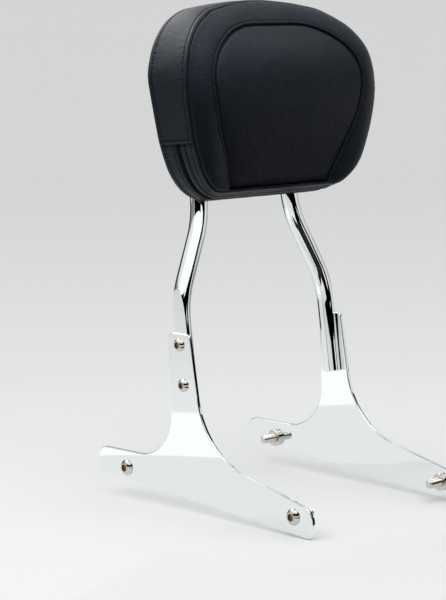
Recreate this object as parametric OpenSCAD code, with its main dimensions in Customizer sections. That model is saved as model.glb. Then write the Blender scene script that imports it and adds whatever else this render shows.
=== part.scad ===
// Passenger backrest for a motorbike: a bent round upright between two flat side plates, with a padded rest.
// Millimetres. Z is up, the rider sits towards -Y, and the part is the same on both sides of X = 0.
// The pieces are drawn from the point midway between the two lower bends of the upright.
// Every node is then moved so that 0, 0, 0 lies midway between the two front strut bolts.

/* [Upright bar] */
// Diameter of the round bar
bar_d = 19; // [17:0.5:22]
// Distance between the two legs at the side plates, centre to centre
foot_span = 226; // [206:1:246]
// Distance between the two legs behind the pad, centre to centre
top_span = 140; // [126:1:156]
// Height from the lower bends to the upper bends, along the upright
bend_rise = 85; // [78:1:100]
// Radius of the four leg bends, at the middle of the bar
bend_r = 105; // [70:1:110]
// Angle that the upright leans back, in degrees
lean = 8.2; // [2:0.2:14]
// Straight leg below the lower screw, to the cut end of the bar
bar_end = 12; // [11:0.5:20]
// Thinning of the bar in its bends, on the radius
bend_thin = 0.03; // [0.03:0.01:0.1]
// Length that each straight runs on into a bend
bend_lap = 1.5; // [1:0.1:1.6]
// Distance from the middle of the bar to the flat that the side plate lies on
flat_offset = 3.2; // [2:0.1:5]

/* [Side plates] */
// Thickness of each side plate
plate_t = 4.4; // [3:0.1:6.5]
// Distance from the lower bends down to the upper screw, along the upright
upper_screw_drop = 47; // [42:1:60]
// Distance between the two screws that hold the upright
screw_pitch = 43; // [36:1:50]
// Height of the top of the neck above the upper screw
neck_top = 12; // [11:0.5:18]
// Width of the neck at its top
neck_w = 31; // [28:1:36]
// Angle that the middle of the neck leans back, in degrees
neck_lean = 6; // [3:0.5:9]
// Angle that each edge of the neck opens towards the root, in degrees
neck_flare = 3.9; // [1:0.1:6]
// Radius of the two corners at the top of the neck
neck_corner_r = 5; // [2:0.5:8]
// Forward distance of the front strut bolt from the lower bends
front_bolt_fore = 173; // [165:1:195]
// Distance of the front strut bolt below the lower bends
front_bolt_drop = 205; // [200:1:215]
// Rearward distance of the rear strut bolt from the lower bends
rear_bolt_aft = 76; // [68:1:90]
// Distance of the rear strut bolt below the lower bends
rear_bolt_drop = 191; // [186:1:197]
// Height of the arm's upper edge above the front bolt, straight up
arm_above = 16.4; // [14:0.2:19]
// Depth of the plate below the front bolt, straight down
arm_below = 18.5; // [16:0.5:24]
// Slope of the arm's upper edge, in degrees
arm_slope = 13; // [10:0.5:16]
// Length of the arm in front of the front bolt
arm_nose = 27.3; // [25:0.1:34]
// Height of the tail's level upper edge above the rear bolt
tail_above = 18.7; // [16:0.1:20]
// Depth of the plate below the rear bolt, straight down
tail_below = 11.5; // [11:0.5:16]
// Length of the tail behind the rear bolt
tail_end = 45; // [30:1:52]
// Radius of the sweep between the neck and the arm
arm_sweep_r = 90; // [60:1:98]
// Radius of the sweep between the neck and the tail
tail_sweep_r = 50; // [30:1:55]
// Radius of the upper corner of the nose
nose_top_r = 19; // [8:0.5:20]
// Radius of the lower corner of the nose
nose_low_r = 8; // [4:0.5:10]
// Radius of the two corners of the tail
tail_corner_r = 11; // [4:0.5:13]

/* [Screws and spacers] */
// Diameter of the screws that hold the upright
screw_d = 8; // [6:0.5:9]
// Distance that those screws stop short of the inner side of the bar
screw_short = 0.7; // [0.5:0.1:4]
// Diameter of the round head on those screws
screw_head_d = 14; // [13:0.2:16]
// Height of that head
screw_head_h = 4.4; // [3.6:0.1:5]
// Width across the flats of that head's socket
screw_hex = 4.8; // [4:0.1:5.5]
// Depth of that socket
screw_socket = 2.6; // [1.6:0.1:3]
// Diameter of the strut bolts
bolt_d = 9.5; // [8:0.5:10]
// Diameter of the round head on the strut bolts
bolt_head_d = 17; // [16:0.2:20]
// Height of that head
bolt_head_h = 5; // [4:0.1:5.6]
// Width across the flats of that head's socket
bolt_hex = 5.6; // [5:0.1:7]
// Depth of that socket
bolt_socket = 3; // [2:0.1:3.4]
// Width of the flat ring round the sockets, on top of the heads
socket_rim = 0.8; // [0.4:0.1:1]
// Chamfer at the tip of each screw and bolt
tip_h = 1; // [0.5:0.1:1.5]
// Length of bolt that stands free behind its spacer
bolt_reach = 18; // [12:1:25]
// Clearance round each screw and bolt in its hole, on the radius
hole_gap = 0.25; // [0.1:0.05:0.4]
// Depth of the threads' mean below the plain shank, on the radius
thread_cut = 0.3; // [0.2:0.05:0.5]
// Length of the spacer between the side plate and the fender strut
spacer_t = 4.8; // [3:0.1:8]
// Outer diameter of the spacer
spacer_d = 19; // [16:0.5:22]

/* [Pad] */
// Full width of the pad
pad_w = 289; // [270:1:310]
// Height of the underside of the pad above the lower bends, along the upright
pad_low = 101.5; // [96:0.5:112]
// Height of the pad from its underside to its top edge
pad_h = 209.5; // [200:0.5:225]
// Radius of the two upper corners
pad_top_r = 75; // [60:1:78]
// Radius of the two lower corners
pad_low_r = 56; // [40:1:62]
// How much narrower the pad is at the lower corners, on each side
pad_taper = 7.5; // [0:0.5:14]
// Slope of the top edge at its ends, in degrees
pad_top_slope = 6; // [3:0.2:7]
// Radius of the top edge in its middle
pad_crown_r = 560; // [300:10:580]
// Thickness of the cushion in its middle
cushion_t = 65.5; // [50:0.5:80]
// Radius of the rounded front, seen from the side
cushion_side_r = 193; // [170:1:240]
// Height of the thickest place above the underside of the pad
cushion_peak = 109.5; // [100:0.5:120]
// Fall of the front from the middle to each side
cushion_crown = 8; // [3:0.5:16]
// Space between the soft cushion and the board
soft_gap = 0.3; // [0.2:0.1:0.6]
// Thickness of the board inside the pad
board_t = 8; // [6:0.5:12]
// Distance of the board's edge inside the pad's edge
board_inset = 6; // [4:0.5:12]
// Thickness of the panel that closes the back of the pad
panel_t = 2.5; // [2:0.1:4]
// Distance of the panel's edge inside the pad's edge
panel_inset = 10; // [8:0.5:16]

/* [Pad mounting] */
// Thickness of the plate welded across the legs
strap_t = 4; // [3:0.1:5]
// Height of that plate
strap_h = 80; // [74:1:90]
// Height of its lower edge above the ends of the upper bends
strap_lift = 16; // [8:1:24]
// Height of the arch's centre above the upper edge of that plate
arch_clear = 8; // [4:1:12]
// Clearance between the front of the bar and the back of the pad
strap_proud = 0.5; // [0.3:0.1:1]
// Radius of the four corners of that plate
strap_corner_r = 6; // [2:0.5:8]
// Distance of the ends of that plate inside the middle of each leg
strap_end = 2.9; // [1:0.1:4]
// Distance of each pad screw inside the middle of its leg
pad_screw_in = 25; // [20:1:32]
// Height between the pad screws
pad_screw_up = 54; // [46:1:58]
// Diameter of the pad screws
pad_screw_d = 6; // [5:0.5:6.5]
// Diameter of the round head on the pad screws
pad_head_d = 10.5; // [9.4:0.1:12]
// Height of that head
pad_head_h = 3.3; // [2.6:0.1:3.8]
// Width across the flats of that head's socket
pad_hex = 4; // [3:0.1:4.4]
// Depth of that socket
pad_socket = 2; // [1.4:0.1:2.2]
// Distance that the pad screws stop short of the front of the board
pad_screw_short = 1; // [0.5:0.1:3]
// Diameter of the washers under the pad screws
washer_d = 14; // [12.6:0.2:18]
// Thickness of those washers
washer_t = 1.4; // [1:0.1:2]
// Diameter of the flange on the nuts set in the board
nut_flange_d = 19; // [15:0.5:22]
// Thickness of that flange
nut_flange_t = 1.5; // [1:0.1:2]
// Diameter of the barrel of those nuts
nut_barrel_d = 9; // [8:0.1:10]
// Clearance round those nuts in the board, on the radius
nut_gap = 0.1; // [0.05:0.05:0.3]

/* [Hidden] */
$fn = 48;
wide_fn = 256;
over = 1;
arc_cross = 0.01;

chrome = [0.86, 0.88, 0.9];
steel = [0.72, 0.73, 0.74];
black = [0.12, 0.12, 0.13];
wood = [0.72, 0.58, 0.4];

// Upright
bar_r = bar_d / 2;
foot_x = foot_span / 2;
top_x = top_span / 2;
bend_angle = atan2(foot_x - top_x, bend_rise);
bend_tangent = bend_r * tan(bend_angle / 2);
slant_len = bend_rise / cos(bend_angle) - 2 * bend_tangent;
strap_low = bend_rise + bend_tangent + strap_lift;
arch_s = strap_low + strap_h + arch_clear;
leg_drop = upper_screw_drop + screw_pitch + bar_end;

// Side plate: the faces lie across X, and the outline is drawn with Y along the sheet's first axis
plate_in_x = foot_x + flat_offset;
plate_out_x = plate_in_x + plate_t;
upper_screw_at = [-upper_screw_drop * sin(lean), -upper_screw_drop * cos(lean)];
lower_screw_at = upper_screw_at - screw_pitch * [sin(lean), cos(lean)];
front_bolt_at = [-front_bolt_fore, -front_bolt_drop];
rear_bolt_at = [rear_bolt_aft, -rear_bolt_drop];
neck_mid = (upper_screw_at + lower_screw_at) / 2;
neck_top_z = upper_screw_at[1] + neck_top;
neck_top_y = neck_mid[0] + (neck_top_z - neck_mid[1]) * tan(neck_lean);
neck_front_tan = tan(neck_lean + neck_flare);
neck_rear_tan = tan(neck_lean - neck_flare);
neck_front = [neck_top_y - neck_w / 2, neck_top_z];
neck_rear = [neck_top_y + neck_w / 2, neck_top_z];
arm_top_z = front_bolt_at[1] + arm_above;
arm_root_y = (neck_front[0] + neck_front_tan * (arm_top_z - neck_top_z - tan(arm_slope) * front_bolt_at[0]))
    / (1 - neck_front_tan * tan(arm_slope));
arm_root = [arm_root_y, arm_top_z + (arm_root_y - front_bolt_at[0]) * tan(arm_slope)];
nose_y = front_bolt_at[0] - arm_nose;
nose_top = [nose_y, arm_top_z - arm_nose * tan(arm_slope)];
under_front = front_bolt_at[1] - arm_below;
under_rear = rear_bolt_at[1] - tail_below;
under_slope = (under_rear - under_front) / (rear_bolt_at[0] - front_bolt_at[0]);
nose_low = [nose_y, under_front - arm_nose * under_slope];
tail_y = rear_bolt_at[0] + tail_end;
tail_low = [tail_y, under_rear + tail_end * under_slope];
tail_z = rear_bolt_at[1] + tail_above;
tail_top = [tail_y, tail_z];
tail_root = [neck_rear[0] - (neck_top_z - tail_z) * neck_rear_tan, tail_z];
plate_points = [neck_rear, neck_front, arm_root, nose_top, nose_low, tail_low, tail_top, tail_root];
plate_radii = [
    neck_corner_r, neck_corner_r, arm_sweep_r, nose_top_r,
    nose_low_r, tail_corner_r, tail_corner_r, tail_sweep_r
];

// Screws
screw_r = screw_d / 2;
screw_len = plate_t + flat_offset + bar_r - screw_short;
bolt_r = bolt_d / 2;
bolt_grip = plate_t + spacer_t;
bolt_len = bolt_grip + bolt_reach;

// Pad, in the plane of the upright: across the legs, and up along them
pad_top = pad_low + pad_h;
side_high = pad_top - pad_top_r;
side_low = pad_low + pad_low_r;
side_lean = atan2(pad_taper, side_high - side_low);
strap_front = bar_r + strap_proud;
panel_front = strap_front + panel_t;
board_front = panel_front + board_t;
cushion_back = board_front + soft_gap;
cushion_front = cushion_back + cushion_t;
cushion_peak_s = pad_low + cushion_peak;
edge_r = (pow(pad_w / 2, 2) + pow(cushion_crown, 2)) / (2 * cushion_crown);
pad_screw_r = pad_screw_d / 2;
pad_screw_mid = strap_low + strap_h / 2;
pad_bite = board_t - pad_screw_short;

// A piece drawn from the lower bends, moved into the part's own frame
module placed() {
    translate([0, front_bolt_fore, front_bolt_drop]) children();
}

// The same for a piece drawn in the plane of the upright, with its front towards -Y
module leaning() {
    placed() rotate([-lean, 0, 0]) children();
}

// The left piece of a pair that is drawn on the right
module left_hand() {
    mirror([1, 0, 0]) children();
}

// Unit vector from one point towards another
function towards(a, b) = (b - a) / norm(b - a);

// Centre of the arc of radius r that touches both edges at corner p
function arc_centre(p, a, b, r) =
    let (ua = towards(p, a), ub = towards(p, b), half = acos(ua * ub) / 2)
    p + towards([0, 0], ua + ub) * r / sin(half);

// Number of sides that the preview gives an arc
function arc_fn(r) = r > 100 ? wide_fn : 2 * $fn;

// Distance from corner p to where that arc touches the edges
function arc_reach(p, a, b, r) = r / tan(acos(towards(p, a) * towards(p, b)) / 2);

// What lies between a corner and its arc, out to a little beyond the two edges
module corner_sliver(p, a, b, r) {
    reach = arc_reach(p, a, b, r);
    centre = arc_centre(p, a, b, r);
    touch_a = p + towards(p, a) * reach;
    touch_b = p + towards(p, b) * reach;
    difference() {
        polygon([
            centre, touch_a + towards(centre, touch_a) * over,
            p + towards(centre, p) * over, touch_b + towards(centre, touch_b) * over
        ]);
        translate(centre) circle(r + arc_cross, $fn = arc_fn(r));
    }
}

// Turn at a corner of an outline, above zero where the corner stands out
function turn(p, a, b) = (p[0] - a[0]) * (b[1] - p[1]) - (p[1] - a[1]) * (b[0] - p[0]);

// An outline with straight edges and a true arc at each corner
module rounded_outline(points, radii) {
    n = len(points);
    difference() {
        union() {
            polygon(points);
            for (i = [0:n - 1]) {
                a = points[(i + n - 1) % n];
                b = points[(i + 1) % n];
                if (turn(points[i], a, b) < 0) corner_sliver(points[i], b, a, radii[i]);
            }
        }
        for (i = [0:n - 1]) {
            a = points[(i + n - 1) % n];
            b = points[(i + 1) % n];
            if (turn(points[i], a, b) > 0) corner_sliver(points[i], a, b, radii[i]);
        }
    }
}

// Round bar along the upright, from one height to another
module bar_between(x, low, high) {
    translate([x, 0, low]) cylinder(r = bar_r, h = high - low);
}

// A bend of the bar in the plane of the upright, from one angle on through another
module bar_bend(centre, radius, from, through) {
    translate([centre[0], 0, centre[1]])
        rotate([90, 0, 0])
        rotate([0, 0, from])
        rotate_extrude(angle = through)
        translate([radius, 0])
        circle(bar_r - bend_thin);
}

// One leg, on the +X side, up to the arch
module leg() {
    bar_between(foot_x, -leg_drop, bend_lap - bend_tangent);
    bar_bend([foot_x - bend_r, -bend_tangent], bend_r, 0, bend_angle);
    translate([foot_x - bend_tangent * sin(bend_angle), 0, bend_tangent * cos(bend_angle)])
        rotate([0, -bend_angle, 0])
        translate([0, 0, -bend_lap])
        cylinder(r = bar_r, h = slant_len + 2 * bend_lap);
    bar_bend([top_x + bend_r, bend_rise + bend_tangent], bend_r, 180, bend_angle);
    bar_between(top_x, bend_rise + bend_tangent - bend_lap, arch_s + bend_lap);
}

// The flat on the outer side of a leg, which runs out where the leg bends inwards, and the two screw holes
module leg_cuts() {
    translate([foot_x + flat_offset, -bar_d, -leg_drop - over])
        cube([bar_d, 2 * bar_d, leg_drop + over + bend_rise]);
    for (drop = [upper_screw_drop, upper_screw_drop + screw_pitch]) {
        translate([foot_x - bar_d, 0, -drop])
            rotate([0, 90, 0])
            cylinder(r = screw_r - thread_cut + hole_gap, h = 2 * bar_d);
    }
}

module upright_hoop() {
    color(chrome) leaning() {
        difference() {
            union() {
                leg();
                left_hand() leg();
                bar_bend([0, arch_s], top_x, 0, 180);
            }
            leg_cuts();
            left_hand() leg_cuts();
        }
    }
}

// A sheet drawn with Y and Z, set across X with its outer face at plate_out_x on the -X side
module across_x(thickness) {
    translate([-plate_out_x, 0, 0])
        rotate([90, 0, 90])
        linear_extrude(thickness)
        children();
}

module side_plate_right() {
    color(chrome) placed() across_x(plate_t) difference() {
        rounded_outline(plate_points, plate_radii);
        for (at = [upper_screw_at, lower_screw_at]) {
            translate(at) circle(screw_r + hole_gap);
        }
        for (at = [front_bolt_at, rear_bolt_at]) {
            translate(at) circle(bolt_r + hole_gap);
        }
    }
}

module side_plate_left() {
    left_hand() side_plate_right();
}

// A round-headed socket screw: the underside of the head is at z = 0 and the shank points down
// It is plain along its grip, and from there its thread is a plain cylinder of the thread's mean size
module button_screw(r, head_r, head_h, hex, socket, grip, length) {
    hex_r = hex / 2 / cos(30);
    top_r = hex_r + socket_rim;
    dome_mid = (top_r * top_r + head_h * head_h - head_r * head_r) / (2 * head_h);
    thread_r = r - thread_cut;
    difference() {
        union() {
            rotate_extrude() intersection() {
                translate([0, dome_mid]) circle(norm([head_r, dome_mid]));
                square([head_r, head_h]);
            }
            translate([0, 0, -grip]) cylinder(r = r, h = grip);
            translate([0, 0, tip_h - length]) cylinder(r = thread_r, h = length - tip_h);
            translate([0, 0, -length]) cylinder(r1 = thread_r - tip_h, r2 = thread_r, h = tip_h);
        }
        translate([0, 0, head_h - socket]) cylinder(r = hex_r, h = socket + over, $fn = 6);
    }
}

// Something that points out of the right side plate, at a place on its outer face
module on_plate(at) {
    placed() translate([-plate_out_x, at[0], at[1]]) rotate([0, -90, 0]) children();
}

module plate_screw(at) {
    color(steel) on_plate(at)
        button_screw(screw_r, screw_head_d / 2, screw_head_h, screw_hex, screw_socket, plate_t, screw_len);
}

module strut_bolt(at) {
    color(steel) on_plate(at)
        button_screw(bolt_r, bolt_head_d / 2, bolt_head_h, bolt_hex, bolt_socket, bolt_grip, bolt_len);
}

module strut_spacer(at) {
    color(steel) on_plate(at) translate([0, 0, -bolt_grip]) difference() {
        cylinder(d = spacer_d, h = spacer_t);
        translate([0, 0, -over]) cylinder(r = bolt_r + hole_gap, h = spacer_t + 2 * over);
    }
}

module upper_screw_right() {
    plate_screw(upper_screw_at);
}

module lower_screw_right() {
    plate_screw(lower_screw_at);
}

module upper_screw_left() {
    left_hand() plate_screw(upper_screw_at);
}

module lower_screw_left() {
    left_hand() plate_screw(lower_screw_at);
}

module front_bolt_right() {
    strut_bolt(front_bolt_at);
}

module rear_bolt_right() {
    strut_bolt(rear_bolt_at);
}

module front_bolt_left() {
    left_hand() strut_bolt(front_bolt_at);
}

module rear_bolt_left() {
    left_hand() strut_bolt(rear_bolt_at);
}

module front_spacer_right() {
    strut_spacer(front_bolt_at);
}

module rear_spacer_right() {
    strut_spacer(rear_bolt_at);
}

module front_spacer_left() {
    left_hand() strut_spacer(front_bolt_at);
}

module rear_spacer_left() {
    left_hand() strut_spacer(rear_bolt_at);
}

// A flat sheet in front of the upright, drawn across and up, between two distances from the middle of the bar
module sheet_between(back, front) {
    translate([0, -back, 0]) rotate([90, 0, 0]) linear_extrude(front - back) children();
}

// The pad's outline, or one that lies inside it by the same distance all round
module pad_outline(inset) {
    crown_r = pad_crown_r - inset;
    low = pad_low + inset;
    peak = pad_top - inset + crown_r * (1 / cos(pad_top_slope) - 1);
    low_x = pad_w / 2 + (low - side_high) * tan(side_lean) - inset / cos(side_lean);
    top_x = (low_x + (peak - low) * tan(side_lean)) / (1 + tan(pad_top_slope) * tan(side_lean));
    top = peak - top_x * tan(pad_top_slope);
    corners = [[low_x, low], [top_x, top], [0, peak], [-top_x, top], [-low_x, low]];
    top_r = pad_top_r - inset;
    low_r = pad_low_r - inset;
    rounded_outline(corners, [low_r, top_r, crown_r, top_r, low_r]);
}

// The rounded front of the cushion: a wide barrel that lies across the upright
module cushion_barrel() {
    translate([0, cushion_side_r - cushion_front, cushion_peak_s])
        rotate([0, 90, 0])
        rotate_extrude()
        intersection() {
            translate([cushion_side_r - edge_r, 0]) circle(edge_r, $fn = wide_fn);
            translate([0, -pad_w]) square([cushion_side_r, 2 * pad_w]);
        }
}

module pad_cushion() {
    color(black) leaning() intersection() {
        sheet_between(cushion_back, cushion_front + over) pad_outline(0);
        cushion_barrel();
    }
}

// Places of the four pad screws, by side and height
function pad_screw_at(side, level) = [side * (top_x - pad_screw_in), pad_screw_mid + level * pad_screw_up / 2];

// The holes for the pad screws in a sheet
module pad_screw_holes(r) {
    for (side = [-1, 1]) {
        for (level = [-1, 1]) {
            translate(pad_screw_at(side, level)) circle(r);
        }
    }
}

module pad_strap() {
    reach = top_x - strap_end;
    strap_top = strap_low + strap_h;
    corners = [[reach, strap_low], [reach, strap_top], [-reach, strap_top], [-reach, strap_low]];
    color(chrome) leaning() difference() {
        sheet_between(strap_front - strap_t, strap_front) difference() {
            rounded_outline(corners, [for (corner = corners) strap_corner_r]);
            pad_screw_holes(pad_screw_r + hole_gap);
        }
        bar_between(top_x, strap_low - over, strap_top + over);
        left_hand() bar_between(top_x, strap_low - over, strap_top + over);
    }
}

module pad_panel() {
    color(black) leaning() sheet_between(strap_front, panel_front) difference() {
        pad_outline(panel_inset);
        pad_screw_holes(pad_screw_r + hole_gap);
    }
}

module pad_board() {
    color(wood) leaning() difference() {
        sheet_between(panel_front, board_front) difference() {
            pad_outline(board_inset);
            pad_screw_holes(nut_barrel_d / 2 + nut_gap);
        }
        sheet_between(board_front - nut_flange_t, board_front + over)
            pad_screw_holes(nut_flange_d / 2 + nut_gap);
    }
}

// Something at a pad screw, with z pointing back out of the pad from a distance in front of the bar
module at_pad_screw(side, level, front) {
    at = pad_screw_at(side, level);
    leaning() translate([at[0], -front, at[1]]) rotate([-90, 0, 0]) children();
}

module pad_screw(side, level) {
    grip = washer_t + strap_t + panel_t;
    color(steel) at_pad_screw(side, level, panel_front - grip)
        button_screw(pad_screw_r, pad_head_d / 2, pad_head_h, pad_hex, pad_socket, grip, grip + pad_bite);
}

module pad_washer(side, level) {
    color(steel) at_pad_screw(side, level, strap_front - strap_t) difference() {
        cylinder(d = washer_d, h = washer_t);
        translate([0, 0, -over]) cylinder(r = pad_screw_r + hole_gap, h = washer_t + 2 * over);
    }
}

module pad_nut(side, level) {
    color(steel) at_pad_screw(side, level, board_front) difference() {
        union() {
            cylinder(d = nut_flange_d, h = nut_flange_t);
            cylinder(d = nut_barrel_d, h = board_t);
        }
        translate([0, 0, -over])
            cylinder(r = pad_screw_r - thread_cut + hole_gap, h = board_t + 2 * over);
    }
}

module pad_screw_low_right() {
    pad_screw(-1, -1);
}

module pad_screw_low_left() {
    pad_screw(1, -1);
}

module pad_screw_top_right() {
    pad_screw(-1, 1);
}

module pad_screw_top_left() {
    pad_screw(1, 1);
}

module pad_washer_low_right() {
    pad_washer(-1, -1);
}

module pad_washer_low_left() {
    pad_washer(1, -1);
}

module pad_washer_top_right() {
    pad_washer(-1, 1);
}

module pad_washer_top_left() {
    pad_washer(1, 1);
}

module pad_nut_low_right() {
    pad_nut(-1, -1);
}

module pad_nut_low_left() {
    pad_nut(1, -1);
}

module pad_nut_top_right() {
    pad_nut(-1, 1);
}

module pad_nut_top_left() {
    pad_nut(1, 1);
}

upright_hoop();
side_plate_right();
side_plate_left();
upper_screw_right();
lower_screw_right();
upper_screw_left();
lower_screw_left();
front_bolt_right();
rear_bolt_right();
front_bolt_left();
rear_bolt_left();
front_spacer_right();
rear_spacer_right();
front_spacer_left();
rear_spacer_left();
pad_strap();
pad_panel();
pad_board();
pad_cushion();
pad_screw_low_right();
pad_screw_low_left();
pad_screw_top_right();
pad_screw_top_left();
pad_washer_low_right();
pad_washer_low_left();
pad_washer_top_right();
pad_washer_top_left();
pad_nut_low_right();
pad_nut_low_left();
pad_nut_top_right();
pad_nut_top_left();
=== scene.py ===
"""Looks of a motorbike passenger backrest: chrome hoop, polished side plates and a stitched vinyl pad.

Lengths are millimetres unless a name says otherwise. Pieces of the upright are drawn across (x), forward (w) and
up the legs (s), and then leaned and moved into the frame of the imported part.
"""

import logging
import math
from dataclasses import dataclass
from enum import Enum

import bpy
import numpy as np
from mathutils import Matrix, Vector


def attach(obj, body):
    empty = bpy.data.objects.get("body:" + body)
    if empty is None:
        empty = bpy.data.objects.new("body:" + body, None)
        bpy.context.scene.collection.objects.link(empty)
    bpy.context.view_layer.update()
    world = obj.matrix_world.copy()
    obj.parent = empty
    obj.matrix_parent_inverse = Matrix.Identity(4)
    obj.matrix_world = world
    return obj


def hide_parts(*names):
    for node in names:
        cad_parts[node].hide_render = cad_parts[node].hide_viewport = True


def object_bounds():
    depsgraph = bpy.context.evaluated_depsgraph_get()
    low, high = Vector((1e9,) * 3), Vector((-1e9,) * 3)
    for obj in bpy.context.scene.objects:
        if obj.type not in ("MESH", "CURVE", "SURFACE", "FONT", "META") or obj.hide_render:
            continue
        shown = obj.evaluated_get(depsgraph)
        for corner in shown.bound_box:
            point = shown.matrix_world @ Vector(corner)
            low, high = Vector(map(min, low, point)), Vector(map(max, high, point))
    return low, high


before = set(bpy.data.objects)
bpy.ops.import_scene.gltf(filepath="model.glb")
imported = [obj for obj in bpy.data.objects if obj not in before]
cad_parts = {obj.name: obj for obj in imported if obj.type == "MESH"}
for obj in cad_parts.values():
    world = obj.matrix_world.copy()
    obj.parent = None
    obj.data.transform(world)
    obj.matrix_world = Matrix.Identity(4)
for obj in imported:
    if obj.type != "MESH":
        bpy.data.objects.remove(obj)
CAD_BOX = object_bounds()

LOG = logging.getLogger("backrest")
MM = 0.001
TURN = 2 * math.pi
BODY = "root"
Material, Mesh, Object = bpy.types.Material, bpy.types.Mesh, bpy.types.Object
Tree, Node, Socket = bpy.types.NodeTree, bpy.types.Node, bpy.types.NodeSocket
Table = tuple[tuple[float, float], ...]
Bells = tuple[tuple[float, float, float], ...]


class Side(Enum):
    """Side of the part, with the sign of its x."""

    RIGHT = -1
    LEFT = 1


def linear(hex_colour: str) -> tuple[float, float, float, float]:
    """Turn an sRGB hex colour into the linear one that a shader takes.

    Args:
        hex_colour: six hex digits after a hash sign.

    Returns:
        Red, green, blue and an alpha of 1.
    """
    parts = [int(hex_colour[i:i + 2], 16) / 255 for i in (1, 3, 5)]
    bright = [c / 12.92 if c <= 0.04045 else ((c + 0.055) / 1.055) ** 2.4 for c in parts]
    return (*bright, 1.0)


def add_node(tree: Tree, kind: str, settings: dict | None = None, links: dict | None = None) -> Node:
    """Add one shader node.

    Args:
        tree: the node tree of a material or of the world.
        kind: the node's type name.
        settings: values for the node's own fields, or for its inputs where no field has that name.
        links: output sockets to join to the inputs of that name.

    Returns:
        The new node.
    """
    node = tree.nodes.new(kind)
    for name, value in (settings or {}).items():
        if isinstance(name, str) and hasattr(node, name):
            setattr(node, name, value)
        else:
            node.inputs[name].default_value = value
    for name, socket in (links or {}).items():
        tree.links.new(socket, node.inputs[name])
    return node


def noise(tree: Tree, place: Socket, size_mm: float, detail: float, **more: float) -> Node:
    """Add noise whose blobs are about as wide as the given length."""
    settings = {"Scale": 1 / (size_mm * MM), "Detail": detail, **more}
    return add_node(tree, "ShaderNodeTexNoise", settings, {"Vector": place})


def spread(tree: Tree, pattern: Socket, low: float, high: float) -> Socket:
    """Spread a pattern of 0 to 1 between two values."""
    node = add_node(tree, "ShaderNodeMapRange", {"To Min": low, "To Max": high}, {"Value": pattern})
    return node.outputs["Result"]


def bump(tree: Tree, height: Socket, strength: float, rise_mm: float, under: Socket | None = None) -> Socket:
    """Add the bump of a height pattern, on top of another bump where one is given."""
    links = {"Height": height} if under is None else {"Height": height, "Normal": under}
    node = add_node(tree, "ShaderNodeBump", {"Strength": strength, "Distance": rise_mm * MM}, links)
    return node.outputs["Normal"]


def mixed(tree: Tree, kind: str, factor: Socket, first: tuple | Socket, second: tuple | float) -> Socket:
    """Mix two colours (RGBA) or two numbers (FLOAT), the first of them a value or a socket."""
    slot, result = {"RGBA": (6, 2), "FLOAT": (2, 0)}[kind]
    values, links = {"data_type": kind, slot + 1: second}, {0: factor}
    if isinstance(first, Socket):
        links[slot] = first
    else:
        values[slot] = first
    return add_node(tree, "ShaderNodeMix", values, links).outputs[result]


def blank_material(name: str) -> tuple[Material, Tree]:
    """Start a material without any node."""
    mat = bpy.data.materials.new(name)
    mat.use_nodes = True
    mat.node_tree.nodes.clear()
    return mat, mat.node_tree


@dataclass(frozen=True)
class Finish:
    """A finish on one Principled shader, with patterns scaled from lengths on the real thing."""

    name: str
    colour: str
    roughness: float

    def start(self) -> tuple[Material, Tree, Node, Socket]:
        """Start the material with an even colour and roughness.

        Returns:
            The material, its node tree, the shader node and the object's own coordinates.
        """
        mat, tree = blank_material(self.name)
        shader = add_node(tree, "ShaderNodeBsdfPrincipled",
                          {"Base Color": linear(self.colour), "Roughness": self.roughness})
        add_node(tree, "ShaderNodeOutputMaterial", None, {"Surface": shader.outputs["BSDF"]})
        return mat, tree, shader, add_node(tree, "ShaderNodeTexCoord").outputs["Object"]


@dataclass(frozen=True)
class MetalFinish(Finish):
    """A metal whose roughness varies a little along fine marks."""

    mark_mm: float = 0.5
    detail: float = 3.0
    smoothest: float = 0.6
    roughest: float = 1.5

    def marks(self, tree: Tree, place: Socket) -> Socket:
        """Pattern of the marks."""
        return noise(tree, place, self.mark_mm, self.detail).outputs["Fac"]

    def material(self) -> Material:
        """Build the material: the roughness runs between its smoothest and roughest share along the marks."""
        mat, tree, shader, place = self.start()
        shader.inputs["Metallic"].default_value = 1.0
        rough = spread(tree, self.marks(tree, place), self.roughness * self.smoothest,
                       self.roughness * self.roughest)
        tree.links.new(rough, shader.inputs["Roughness"])
        return mat


@dataclass(frozen=True)
class ChromePlate(MetalFinish):
    """Bright decorative chrome on polished steel: a mirror with a cool cast and faint polishing marks."""

    name: str = "chrome_plate"
    colour: str = "#f1f4f5"
    roughness: float = 0.035


@dataclass(frozen=True)
class PolishedSteel(MetalFinish):
    """Polished stainless screws: a little warmer and duller than the chrome, with fine turning marks."""

    name: str = "polished_steel"
    colour: str = "#d2cec7"
    roughness: float = 0.07
    mark_mm: float = 0.35
    detail: float = 4.0
    roughest: float = 1.6


@dataclass(frozen=True)
class SocketShadeAndGrease(MetalFinish):
    """The inside of a screw's socket: steel painted dark and brown as shade in the recess, with smears of old grease.
    """

    name: str = "socket_shade_and_grease"
    colour: str = "#9c8560"
    roughness: float = 0.4
    mark_mm: float = 0.8
    smoothest: float = 0.7


@dataclass(frozen=True)
class ZincPlate(MetalFinish):
    """Zinc-plated steel, as on nuts and washers: grey, soft in gloss and faintly mottled by its spangle."""

    name: str = "zinc_plate"
    colour: str = "#b4b8ba"
    roughness: float = 0.32
    mark_mm: float = 1.6
    smoothest: float = 0.75
    roughest: float = 1.3

    def marks(self, tree: Tree, place: Socket) -> Socket:
        """Pattern of the spangle."""
        cells = add_node(tree, "ShaderNodeTexVoronoi", {"Scale": 1 / (self.mark_mm * MM)}, {"Vector": place})
        return cells.outputs["Distance"]


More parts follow.
